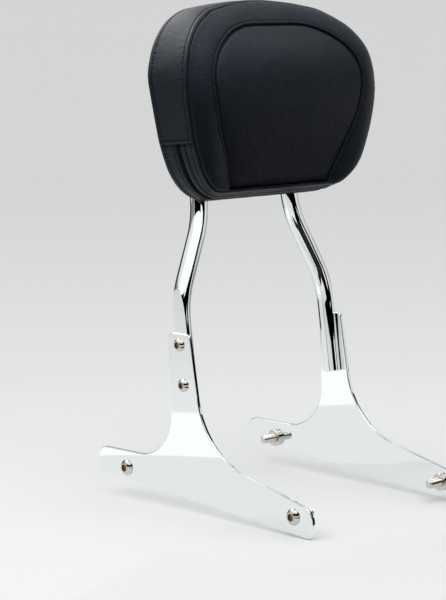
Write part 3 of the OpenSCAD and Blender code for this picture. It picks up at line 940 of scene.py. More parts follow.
@dataclass
class Pad:
    """The stuffed back pad: a vinyl cover of sewn panels over foam, closed behind round a board.

    The cover is one grid. Its columns run round the pad and its rows from the pocket round the board, over the rear
    edge, the side panel and the border, to the middle of the front panel. Its tables give a value for a height (s)
    or the half outline of the inner panel. Its bells shape seams: each has a depth, a place and a width.
    """

    low: float = 101.5
    top: float = 311.0
    width: float = 289.0
    corner_high: float = 75.0
    corner_low: float = 56.0
    taper_deg: float = 5.458
    taper_s: float = 236.0
    crown_r: float = 560.0
    crown_slope: float = 6.0
    rear: float = 11.4
    lip_front: float = 12.3
    cushion_back: float = 20.75
    board_gap: float = 5.7
    panel_gap: float = 9.8
    least_inset: float = 4.5
    rear_fold: float = 4.0
    crown_curve: tuple[float, ...] = (86.8, 17.4, -26.0, -13.0, -1.0)
    crown_fall: float = 1.0
    crown_sink: float = 1.8
    side_swell: float = 1.0
    side_power: float = 0.8
    border_swell: float = 5.0
    border_power: float = 0.6
    border_full_w: float = 32.0
    flank_x: float = 78.0
    foot_place: tuple[float, float] = (90.0, 125.0)
    foot_gap: float = 0.8
    foam_edge: tuple[float, float] = (1.3, 2.6)
    foam_slope: tuple[float, float] = (2.0, 26.0)
    middle_s: float = 196.0
    seam_places: Table = (
        (95, 56.7), (101.5, 57.5), (109, 57), (126, 62.9), (145, 66.8), (163, 69.1), (190, 74.2), (210, 76),
        (232, 77), (252, 76.8), (268, 73.3), (280, 69.7), (292, 63.9), (303, 55.8), (311, 49.1), (316, 43.3))
    seam_insets: Table = (
        (95, 8.6), (101.5, 8.4), (104, 5.4), (109, 6.2), (122, 7.4), (146, 7), (165, 1), (190, -1.8), (210, -3.2),
        (225, -1), (240, 1.7), (255, 2.9), (268, 5), (281, 6.8), (292, 7.9), (300, 8.9), (306, 5.7), (311, 0.6))
    rear_insets: Table = (
        (95, 0.6), (101.5, 1.1), (104, 3.6), (120, 7.6), (145, 8.9), (165, 5.1), (200, 4.6), (240, 4.1), (255, 5.9),
        (270, 5.3), (285, 4.3), (300, 1.6), (311, -1.6))
    groove_places: Table = (
        (0, 282), (30.2, 282.2), (47.1, 280.9), (64, 276.2), (79.1, 269.4), (89.7, 262.3), (98, 255.6),
        (103.8, 248.7), (110.1, 237.9), (113.6, 224.1), (112.5, 210), (109.7, 196.5), (105.7, 182.4), (98.8, 166.1),
        (92.4, 152.6), (85.2, 136.6), (79.2, 123.4), (74.6, 111.6), (67, 110), (0, 110))
    cross_seam_s: float = 163.0
    cross_rise: float = 4.9
    cross_slope: float = 0.04
    cross_pivot: float = 15.0
    low_lines: tuple[float, float, float] = (0.34, 0.49, 0.70)
    top_stitch_gap: float = 7.5
    rear_stitch_gap: float = 4.5
    groove_stitch_gap: float = 5.4
    top_seam: Bells = ((1.7, 0.0, 1.3),)
    top_welt: Bells = ((-0.65, 3.6, 2.6),)
    rear_roll: Bells = ((-0.4, 1.6, 1.8),)
    cross_seam: Bells = ((1.6, 0.0, 1.2), (-0.6, 2.9, 2.2))
    low_welt: Bells = ((0.3, 0.0, 1.1), (-0.6, 3.6, 2.6))
    low_fold: Bells = ((4.6, 0.0, 1.9),)
    groove_seam: Bells = ((1.5, 0.0, 1.2),)
    # bells of painted shade: near-black colour along seams, folds and stitch rows, where shade falls in them
    seam_shade: Bells = ((1.0, 0.0, 1.0),)
    cross_shade: Bells = ((0.9, 0.0, 0.9),)
    row_shade: Bells = ((0.15, 0.0, 0.8),)
    fold_shade: Bells = ((1.0, 0.0, 1.7),)
    groove_shade: Bells = ((1.0, 0.0, 0.9),)
    groove_welt: Bells = ((-0.6, 2.8, 2.0),)
    stitch_dip: float = 0.12
    stitch_dip_w: float = 1.1
    pucker_depth: float = 0.055
    pucker_top: Bells = ((1.0, 11.0, 5.0),)
    pucker_rear: Bells = ((1.0, 8.0, 4.0),)
    pucker_border: Bells = ((1.0, 5.0, 5.0),)
    pucker_groove: Bells = ((1.0, 10.0, 4.0),)
    pucker_inner: Bells = ((0.8, 5.0, 5.0),)
    pucker_counts: tuple[int, ...] = (83, 97, 118, 131, 149)
    pucker_groups: tuple[int, ...] = (7, 11, 17)
    around: int = 648
    side_rows: int = 84
    border_rows: int = 50
    inner_rows: int = 46
    pressure: float = 3.0
    most_swell: float = 2.2
    settle_frames: int = 20
    stitch_pitch: float = 3.9
    stitch_length: float = 2.1
    thread_d: float = 1.35

    def outline(self) -> tuple[np.ndarray, np.ndarray]:
        """Walk evenly round the pad's outline from the middle of its underside.

        Returns:
            Points across and up, and unit vectors out of the outline.
        """
        slope = math.tan(math.radians(self.crown_slope))
        taper = math.tan(math.radians(self.taper_deg))
        low_x = self.width / 2 + (self.low - self.taper_s) * taper
        peak = self.top + self.crown_r * (1 / math.cos(math.radians(self.crown_slope)) - 1)
        top_x = (low_x + (peak - self.low) * taper) / (1 + slope * taper)
        top = peak - top_x * slope
        corners = [(low_x, self.low), (top_x, top), (0, peak), (-top_x, top), (-low_x, self.low)]
        radii = [self.corner_low, self.corner_high, self.crown_r, self.corner_high, self.corner_low]
        pts, out = rounded_loop(corners, radii, 360)
        ring, normals = np.vstack([pts, pts[:1]]), np.vstack([out, out[:1]])
        length = run_along(ring)
        closing = length[-1] - length[-2]
        want = (np.arange(self.around) / self.around * length[-1] - closing / 2) % length[-1]
        at = np.stack([np.interp(want, length, ring[:, i]) for i in (0, 1)], -1)
        turn = np.stack([np.interp(want, length, normals[:, i]) for i in (0, 1)], -1)
        return at, unit(turn)

    def by_height(self, places: Table, s: np.ndarray) -> np.ndarray:
        """Read a table of values by height for each column, and smooth it round the pad."""
        table = np.array(places, float)
        return smooth_round(np.interp(s, table[:, 0], table[:, 1]), 5.0)

    def inside(self, gap: float) -> tuple[np.ndarray, np.ndarray]:
        """Outline of a piece behind the cushion: it keeps its gap and follows where the cover is drawn in."""
        line, out = self.outline()
        more = np.clip(self.by_height(self.rear_insets, line[:, 1]) - self.least_inset, 0, None)
        return line - out * (gap + more[:, None]), out

    def crown(self, x: np.ndarray, s: np.ndarray) -> np.ndarray:
        """Front of the pad: powers of the height above s = 200, in 90 mm, less the square of the distance across."""
        up = sum(c * ((s - 200) / 90) ** k for k, c in enumerate(self.crown_curve))
        return up - self.crown_fall * (x / 112) ** 2

    def groove(self, outline: np.ndarray) -> np.ndarray:
        """Find the seam of the inner panel on the ray from the pad's middle through each outline point.

        The inner panel's outline is walked in short steps and turned into a radius for each angle round the middle.
        """
        half = np.array(self.groove_places, float)
        ring = np.vstack([half, half[::-1][1:-1] * [-1, 1], half[:1]])
        length = run_along(ring)
        want = np.linspace(0, length[-1], 3000, endpoint=False)
        x, s = (np.interp(want, length, ring[:, i]) for i in (0, 1))
        angle = np.arctan2(x, self.middle_s - s)
        order = np.argsort(angle)
        here = np.arctan2(outline[:, 0], self.middle_s - outline[:, 1])
        reach = np.interp(here, angle[order], np.hypot(x, s - self.middle_s)[order], period=TURN)
        reach = smooth_round(reach, 2.2)
        return np.stack([reach * np.sin(here), self.middle_s - reach * np.cos(here)], -1)

    def cover(self) -> dict[str, np.ndarray]:
        """Lay out the cover before it is sewn and stuffed.

        Side panel: the outline moves in by a share of its rear and front insets, less a swell of 4t(1-t) to a
        power, while w runs from the rear fold to the seam. Border: a straight run from the seam to the inner panel's
        seam, lifted by 4t(1-t) to a power, highest near the seam. Inner panel: the crown, less what the foam gives
        way near its seam.

        Returns:
            The grid (x, w, s last) and the row numbers of its panels.
        """
        line, out = self.outline()
        seam_in = self.by_height(self.seam_insets, line[:, 1])
        seam_w = self.by_height(self.seam_places, (line - out * seam_in[:, None])[:, 1])
        rear_in = self.by_height(self.rear_insets, line[:, 1])

        def ring(inset: float | np.ndarray, w: float | np.ndarray) -> np.ndarray:
            """One row: the outline moved in by inset, at w."""
            at = line - out * np.broadcast_to(inset, (self.around,))[:, None]
            return np.stack([at[:, 0], np.broadcast_to(w, (self.around,)), at[:, 1]], -1)

        middle = np.stack([np.zeros(self.around), np.full(self.around, self.cushion_back),
                           np.full(self.around, self.middle_s)], -1)
        more = np.clip(rear_in - self.least_inset, 0, None)
        board, panel = self.board_gap + more, self.panel_gap + more
        wall = ring(board, self.cushion_back)
        pocket = [middle + (wall - middle) * t for t in (0.02, 0.3, 0.6, 0.9, 0.98)]
        pocket += [wall, ring(board, self.cushion_back - 0.3), ring(board, self.lip_front + 0.3),
                   ring(board, self.lip_front), ring(panel, self.lip_front),
                   ring(panel + 0.1, (self.lip_front + self.rear) / 2), ring(panel - 0.15, self.rear)]
        fold = self.rear_fold
        pocket += [ring(rear_in + fold * (1 - math.sin(t)), self.rear + fold * (1 - math.cos(t)))
                   for t in np.linspace(0, math.pi / 2, 9)[:-1]]
        start = self.rear + fold
        run = clustered(self.side_rows, (0.0, 0.07, *self.low_lines, 0.87, 1.0), 1.6, 0.022)
        bend = 1.15 + 1.5 * np.clip((seam_in - rear_in) / 5, 0, 1)
        side = [ring(rear_in + (seam_in - rear_in) * t ** bend - self.side_swell * (4 * t * (1 - t)) ** self.side_power,
                     start + (seam_w - start) * t) for t in run]
        seam = side[-1][:, [0, 2]]
        groove = self.groove(line)
        at_foot = (np.abs(groove[:, 0]) < self.foot_place[0]) & (groove[:, 1] < self.foot_place[1])
        groove[:, 1] = np.where(at_foot, np.maximum(groove[:, 1], seam[:, 1] + self.foot_gap), groove[:, 1])
        floor = self.crown(groove[:, 0], groove[:, 1]) - self.crown_sink
        wide = np.linalg.norm(groove - seam, axis=1)
        run_b = clustered(self.border_rows + 1, (0.0, 0.06, 0.85, 1.0), 1.6, 0.04)[1:]
        rise = self.border_swell * np.clip(wide / self.border_full_w, 0, 1.1)
        border = []
        for t in run_b:
            at = seam + (groove - seam) * t
            lift = rise * (4 * t * (1 - t)) ** self.border_power * (1.15 - 0.45 * t)
            border.append(np.stack([at[:, 0], seam_w + (floor - seam_w) * t + lift, at[:, 1]], -1))
        centre = np.array([0.0, self.middle_s])
        reach = np.linalg.norm(groove - centre, axis=1)
        inner = []
        for t in 0.992 * np.linspace(0, 1, self.inner_rows + 1)[1:] ** 1.45:
            at = groove + (centre - groove) * t
            lift = sum(rise * (1 - np.exp(-reach * t / wide)) for rise, wide in (self.foam_edge, self.foam_slope))
            inner.append(np.stack([at[:, 0], self.crown(at[:, 0], at[:, 1]) - self.crown_sink + lift, at[:, 1]], -1))
        grid = np.array(pocket + side + border + inner)
        ends = np.cumsum([len(pocket), len(side), len(border), len(inner)])
        return {"grid": grid, "side": np.arange(ends[0], ends[1]), "border": np.arange(ends[1], ends[2]),
                "inner": np.arange(ends[2], ends[3])}

    def normals(self, grid: np.ndarray) -> np.ndarray:
        """Normal of the grid at each point, outwards: the cross product of its two central differences."""
        along = np.roll(grid, -1, 1) - np.roll(grid, 1, 1)
        out = unit(np.cross(along, np.gradient(grid, axis=0)))
        return out if out[-3, 0, 1] > 0 else -out

    def run_lengths(self, grid: np.ndarray, rows: np.ndarray) -> np.ndarray:
        """Distance along each column from the first of the given rows."""
        steps = np.linalg.norm(np.diff(grid[rows], axis=0), axis=-1)
        return np.concatenate([np.zeros((1, self.around)), np.cumsum(steps, 0)])

    def stitch_row(self, at: float) -> tuple[float, float, float]:
        """Bell of the shallow dip under a row of stitches."""
        return self.stitch_dip, at, self.stitch_dip_w

    def tailoring(self, parts: dict[str, np.ndarray]) -> tuple[np.ndarray, np.ndarray]:
        """Sew the cover: seams and stitch rows draw it in, the doubled edges beside them stand proud, and painted shade
        darkens their lines.

        Each is a bell of the distance from its line. Puckers are sine waves along a seam that die out over a few
        millimetres from it.

        Returns:
            How far each point moves in along its normal, and how much painted shade it takes in a seam, fold or stitch
            row, from 0 to 1.
        """
        grid, side, border, inner = (parts[k] for k in ("grid", "side", "border", "inner"))
        dip, shade = np.zeros(grid.shape[:2]), np.zeros(grid.shape[:2])
        length = self.run_lengths(grid, side)
        total = length[-1]
        end = total - length
        flank = np.clip((np.abs(grid[side, :, 0]) - self.flank_x) / 6, 0, 1)
        cross = grid[side, :, 2] - self.cross_seam_s + self.cross_slope * (grid[side, :, 1] - self.cross_pivot)
        lower = 1 - np.clip(cross / 2.0 + 0.5, 0, 1)
        share = [(length / total - f) * total for f in self.low_lines]
        dip[side] += bells(end, (*self.top_seam, *self.top_welt, self.stitch_row(self.top_stitch_gap)))
        dip[side] += bells(length, (self.stitch_row(self.rear_stitch_gap), *self.rear_roll))
        dip[side] += flank * bells(cross, (*self.cross_seam, self.stitch_row(self.cross_rise)))
        dip[side] += lower * (bells(share[0], self.low_welt) + bells(share[1], self.low_fold)
                              + bells(-share[2], self.low_welt))
        # painted shade along the front seam, the cross seam, the stitch rows and the fold
        shade[side] += bells(end, self.seam_shade) + flank * bells(cross, self.cross_shade)
        shade[side] += lower * (bells(share[0], self.row_shade) + bells(share[1], self.fold_shade)
                                + bells(share[2], self.row_shade))
        gap = np.linalg.norm(grid[border] - grid[side[-1]][None], axis=-1)
        rest, reach = (np.linalg.norm(grid[rows] - grid[border[-1]][None], axis=-1) for rows in (border, inner))
        near = np.clip((rest[0] - 9) / 6, 0, 1)
        dip[border] += bells(gap, self.top_seam) + bells(rest, self.groove_seam)
        dip[border] += near * bells(rest, (self.stitch_row(self.groove_stitch_gap), *self.groove_welt))
        dip[inner] += bells(reach, self.groove_seam)
        # painted shade along the front seam and the inner panel's groove
        shade[border] += bells(gap, self.seam_shade) + bells(rest, self.groove_shade)
        shade[inner] += bells(reach, self.groove_shade)
        rng = np.random.default_rng(11)
        column = np.arange(self.around) / self.around * TURN
        waves, groups = (sum(rng.uniform(0.4, 1) * np.sin(k * column + rng.uniform(0, 6.28)) for k in counts)
                         for counts in (self.pucker_counts, self.pucker_groups))
        pucker = self.pucker_depth * waves * (1 + 0.5 * groups)
        dip[side] += pucker * (bells(end, self.pucker_top) + bells(length, self.pucker_rear))
        dip[border] += pucker * (bells(gap, self.pucker_border) + near * bells(rest, self.pucker_groove))
        dip[inner] += pucker * bells(reach, self.pucker_inner)
        return dip, np.clip(shade, 0, 1)

    def held_rows(self, grid: np.ndarray, side: np.ndarray, border: np.ndarray,
                  inner: np.ndarray) -> tuple[np.ndarray, np.ndarray]:
        """Choose the rows of the coarse copy, about every 3 mm, and those of them that every column holds."""
        length = self.run_lengths(grid, np.arange(side[0], len(grid))).mean(1)
        marks = side[0] + np.searchsorted(length, np.arange(0, length[-1], 3.2))
        seams = [0, side[0] // 2, side[0], side[-1], border[-1]]
        rows = np.unique(np.concatenate([seams, marks, inner[-1:]]))
        return rows, np.isin(rows, seams)

    def stuffing(self, parts: dict[str, np.ndarray], every: int = 3) -> np.ndarray:
        """Stuff the cover with a cloth simulation, held at its seams.

        A coarser copy of the grid is blown up with the cover held along every seam and behind. How far each of its
        points moves is read back, kept below a cap, and spread over the fine grid.

        Args:
            parts: the cover.
            every: step between the columns that the coarse copy takes.

        Returns:
            How far each grid point moves, as vectors.
        """
        grid, side, border, inner = (parts[k] for k in ("grid", "side", "border", "inner"))
        rows, held = self.held_rows(grid, side, border, inner)
        coarse = grid[rows][:, ::every]
        held = held[:, None] & np.ones(coarse.shape[:2], bool)
        low = coarse[..., 2] < self.cross_seam_s
        for share in self.low_lines:
            row = side[0] + int(np.argmin(np.abs(np.linspace(0, 1, len(side)) - share)))
            near = int(np.argmin(np.abs(rows - row)))
            held[near] |= low[near]
        cross = (np.abs(coarse[..., 2] - self.cross_seam_s) < 3.5) & (np.abs(coarse[..., 0]) > 80)
        held |= ((rows >= side[0]) & (rows <= side[-1]))[:, None] & cross
        rest = PLACE.leaning(coarse[..., 0], coarse[..., 1], coarse[..., 2]).reshape(-1, 3)
        mesh = new_mesh("stuffing", rest, closed_grid(*coarse.shape[:2]))
        outwards(mesh)
        bag = in_scene("stuffing", mesh)
        bag.vertex_groups.new(name="sewn").add(np.flatnonzero(held.ravel()).tolist(), 1.0, "REPLACE")
        cloth = bag.modifiers.new("stuffing", "CLOTH")
        for name, value in {"quality": 6, "mass": 0.35, "tension_stiffness": 40, "compression_stiffness": 40,
                            "bending_stiffness": 6, "vertex_group_mass": "sewn", "use_pressure": True,
                            "uniform_pressure_force": self.pressure, "shrink_min": -0.001}.items():
            setattr(cloth.settings, name, value)
        cloth.settings.effector_weights.gravity = 0
        cloth.collision_settings.use_collision = False
        cloth.point_cache.frame_start, cloth.point_cache.frame_end = 1, self.settle_frames
        scene = bpy.context.scene
        for number in range(1, self.settle_frames + 1):
            scene.frame_set(number)
        shaped = bag.evaluated_get(bpy.context.evaluated_depsgraph_get()).data
        move = (read(shaped.vertices, "co", float, 3) - rest) / MM
        bpy.data.objects.remove(bag)
        bpy.data.meshes.remove(mesh)
        scene.frame_set(1)
        size = np.linalg.norm(move, axis=1, keepdims=True)
        move *= np.tanh(size / self.most_swell) * self.most_swell / size.clip(1e-9)
        LOG.info("stuffing moves the cover by up to %.1f mm", float(size.max()))
        own = PLACE.unleaned(move).reshape(*coarse.shape)
        own[rows < side[0]] = 0
        return self.spread_moves(own, rows, every, parts)

    def spread_moves(self, own: np.ndarray, rows: np.ndarray, every: int,
                     parts: dict[str, np.ndarray]) -> np.ndarray:
        """Spread the coarse copy's moves over the fine grid, smooth them round the pad and even out its middle.

        Args:
            own: moves of the coarse points.
            rows: the grid's rows that the copy took.
            every: step between the columns that it took.
            parts: the cover.

        Returns:
            Moves of the grid's points.
        """
        border, inner = parts["border"], parts["inner"]
        number = np.arange(len(parts["grid"]))
        tall = np.array([[np.interp(number, rows, own[:, c, k]) for k in range(3)] for c in range(own.shape[1])])
        taken = np.arange(0, self.around, every)
        fine = np.array([[smooth_round(np.interp(np.arange(self.around), taken, tall[:, k, r], period=self.around),
                                       4.0 if r < border[-1] else 8.0) for k in range(3)] for r in number])
        fine = fine.transpose(0, 2, 1)
        near_middle = np.clip((number - inner[0]) / len(inner) / 0.4 - 0.4, 0, 1)[:, None, None]
        return fine * (1 - near_middle) + fine.mean(1, keepdims=True) * near_middle

    def stitch_lines(self, parts: dict[str, np.ndarray]) -> list[tuple[np.ndarray, np.ndarray]]:
        """List the stitch rows as row and column numbers on the grid.

        Returns:
            For each line, its rows and its columns, as decimal numbers.
        """
        grid, side, border = parts["grid"], parts["side"], parts["border"]
        cols = np.arange(self.around, dtype=float)
        length = self.run_lengths(grid, side)
        total = length[-1]

        def at_length(gap: np.ndarray) -> np.ndarray:
            """Row number on the side panel at a distance from its rear edge, for each column."""
            return np.array([np.interp(g, length[:, c], side.astype(float)) for c, g in enumerate(gap)])

        def loop(rows: np.ndarray) -> tuple[np.ndarray, np.ndarray]:
            """Close a line that runs all round."""
            return np.append(rows, rows[0]), np.append(cols, self.around)

        lines = [loop(at_length(total - self.top_stitch_gap)),
                 loop(at_length(np.full(self.around, self.rear_stitch_gap)))]
        rest = np.linalg.norm(grid[border] - grid[border[-1]][None], axis=-1)
        rows = np.array([np.interp(-self.groove_stitch_gap, -rest[:, c], border.astype(float))
                         for c in range(self.around)])
        wide = np.flatnonzero(rest[0] > 16)
        lines.append((rows[wide[0]:wide[-1] + 1], cols[wide[0]:wide[-1] + 1]))
        s, x = grid[side, :, 2].mean(0), grid[side, :, 0].mean(0)
        for sign in (1, -1):
            near = np.flatnonzero(sign * x > 100)
            order = near[np.argsort(s[near])]
            w = np.linspace(grid[side[0], near, 1].mean() + 4, grid[side[-1], near, 1].mean() - 7, 60)
            col = np.interp(self.cross_seam_s + self.cross_rise - self.cross_slope * (w - self.cross_pivot), s[order],
                            order.astype(float))
            depth = grid[side][:, int(col.mean()), 1]
            lines.append((np.interp(w, depth, side.astype(float)), col))
        turned_cols = np.roll(np.arange(self.around), self.around // 2)
        low = turned_cols[s[turned_cols] < self.cross_seam_s - 1]
        for share in (self.low_lines[0], self.low_lines[2]):
            columns = np.where(low > self.around // 2, low - self.around, low).astype(float)
            lines.append((at_length(total * share)[low], columns))
        return lines

    def sample(self, table: np.ndarray, row: np.ndarray, col: np.ndarray) -> np.ndarray:
        """Interpolate a table of the grid's points between the four round each place."""
        r0 = np.clip(np.floor(row).astype(int), 0, len(table) - 2)
        c0 = np.floor(col).astype(int)
        fr, fc = (row - r0)[:, None], (col - c0)[:, None]
        c0, c1 = c0 % self.around, (c0 + 1) % self.around
        return ((table[r0, c0] * (1 - fc) + table[r0, c1] * fc) * (1 - fr)
                + (table[r0 + 1, c0] * (1 - fc) + table[r0 + 1, c1] * fc) * fr)

    def stitches(self, grid: np.ndarray, lines: list) -> tuple[np.ndarray, list]:
        """Lay short thread pieces along the stitch lines.

        Each stitch is a rounded bar: tangent, normal and cross directions times the half length and the half
        thickness times a unit sphere's points, drawn out at its ends. It stands a little out of its dip.

        Args:
            grid: the finished cover.
            lines: rows and columns of each stitch line.

        Returns:
            Points in metres and faces.
        """
        normals, sides = self.normals(grid), 8
        lat = np.linspace(0, math.pi, 7)
        ball = spun(np.sin(lat) ** 0.6 * 0.5, np.cos(lat) * 0.5, sides)[1:-1, :, [2, 0, 1]].reshape(-1, 3)
        quads = grid_quads(len(ball) // sides, sides)
        caps = np.stack([np.arange(sides)[::-1], np.arange(len(ball) - sides, len(ball))])
        length, thick = self.stitch_length, self.thread_d
        clouds, faces, base = [], [], 0
        for rows, cols in lines:
            run = run_along(self.sample(grid, rows, cols))
            count = max(2, round(run[-1] / self.stitch_pitch))
            where = (np.arange(count) + 0.5) / count * run[-1]
            back, front = (self.sample(grid, np.interp(where + d, run, rows), np.interp(where + d, run, cols))
                           for d in (-length / 2, length / 2))
            row, col = np.interp(where, run, rows), np.interp(where, run, cols)
            at, up, along = self.sample(grid, row, col), self.sample(normals, row, col), unit(front - back)
            up = unit(up - along * np.sum(up * along, axis=1, keepdims=True))
            points = (at[:, None] + ball[None, :, :1] * length * along[:, None]
                      + (ball[None, :, 1:2] * thick + self.stitch_dip) * up[:, None]
                      + ball[None, :, 2:] * thick * np.cross(up, along)[:, None])
            clouds.append(points.reshape(-1, 3))
            step = np.arange(count)[:, None, None] * len(ball) + base
            faces += (quads[None] + step).reshape(-1, 4).tolist() + (caps[None] + step).reshape(-1, sides).tolist()
            base += count * len(ball)
        cloud = np.vstack(clouds)
        return PLACE.leaning(cloud[:, 0], cloud[:, 1], cloud[:, 2]), faces

    def build(self, vinyl: Material, thread: Material) -> None:
        """Lay out, stuff and sew the cover, and stitch it."""
        parts = self.cover()
        dip, shade = self.tailoring(parts)
        lines = self.stitch_lines(parts)
        parts["grid"] = parts["grid"] + self.stuffing(parts)
        grid = parts["grid"] - self.normals(parts["grid"]) * dip[..., None]
        points = PLACE.leaning(grid[..., 0], grid[..., 1], grid[..., 2])
        cover = add_piece("pad_cushion_cover", points, closed_grid(*grid.shape[:2]), vinyl, 180.0,
                          ("pad_cushion",))
        # painted shade for the vinyl: near black along the seams, folds and stitch rows
        depth = cover.data.attributes.new("painted_seam_shade", "FLOAT", "POINT")
        depth.data.foreach_set("value", shade.ravel().astype(np.float32))
        points, faces = self.stitches(grid, lines)
        add_piece("pad_cushion_stitches", points, faces, thread, 180.0)


@dataclass
class PadMount:
    """What carries the pad: the strap welded between the legs and the moulded panel behind the pad."""

    pad: Pad
    strap_low: float = 126.13
    strap_h: float = 80.0
    reach: float = 67.1
    corner_r: float = 6.0
    strap_back: float = 6.0
    strap_front: float = 10.0
    panel_front: float = 12.5
    panel_inset: float = 10.0
    board_inset: float = 6.0
    board_t: float = 8.0
    bar_x: float = 70.0
    bar_r: float = 9.5
    bead_r: float = 1.7
    bead_pitch: float = 2.2
    bead_sunk: float = 0.2

    def strap_outline(self) -> tuple[np.ndarray, np.ndarray]:
        """Outline of the strap, its ends sunk in the bars."""
        low, high = self.strap_low, self.strap_low + self.strap_h
        corners = [(self.reach, low), (self.reach, high), (-self.reach, high), (-self.reach, low)]
        return rounded_loop(corners, [self.corner_r] * 4)

    def weld(self, side: Side, finish: Material) -> None:
        """Lay a weld bead where the strap's back meets a bar: a thin tube whose radius ripples along it."""
        s = np.arange(self.strap_low + 1.5, self.strap_low + self.strap_h - 1.4, self.bead_pitch / 5)
        ends = np.clip(np.minimum(s - s[0], s[-1] - s) / 2.0, 0, 1) ** 0.5
        radius = self.bead_r * (0.92 + 0.08 * np.sin(TURN * s / self.bead_pitch)) * (0.25 + 0.75 * ends)
        ring = spun(radius, s, 16)
        foot = self.bar_x - math.sqrt(self.bar_r ** 2 - self.strap_back ** 2)
        points = PLACE.leaning(side.value * (foot - self.bead_sunk + ring[..., 0]),
                               self.strap_back + self.bead_sunk + ring[..., 1], s[:, None])
        add_piece(f"pad_strap_weld_{side.name.lower()}", points, closed_grid(len(s), 16), finish, 60.0)

    def build(self, chrome: Material, plastic: Material, wood: Material) -> None:
        """Make strap, panel and board as slabs with rounded edges, and the welds."""
        panel_front = self.panel_front
        for node, word, outline, back, front, edge, finish, slot in (
                ("pad_strap", "plate", self.strap_outline(), self.strap_back, self.strap_front, 0.7, chrome,
                 "chrome_plate"),
                ("pad_panel", "shell", self.pad.inside(self.panel_inset), self.strap_front, panel_front, 0.9, plastic,
                 "pad_panel"),
                ("pad_board", "ply", self.pad.inside(self.board_inset), panel_front, panel_front + self.board_t, 0.6,
                 wood, "pad_board")):
            x, s, w, faces = slab(*outline, back, front, edge)
            weigh_normals(add_piece(f"{node}_{word}", PLACE.leaning(x, w, s), faces, finish, 60.0, (node,)))
        for side in Side:
            self.weld(side, chrome)


@dataclass(frozen=True)
class Card:
    """A reflector or flag beside the part that only its polished surfaces see.

    bearing_deg runs from the camera's direction towards the right of the picture. The card is a strip of a cylinder
    round the part, or lies on the floor where its low and high edges are distances.
    """

    name: str
    bearing_deg: float
    width_deg: float
    low: float
    high: float
    low_tone: float
    high_tone: float
    distance: float = 0.9
    flat: bool = False


@dataclass(frozen=True)
class Lamp:
    """A square soft light: its place and the length of its sides in metres, and its power in watts."""

    name: str
    place: tuple[float, float, float]
    size: float
    power: float


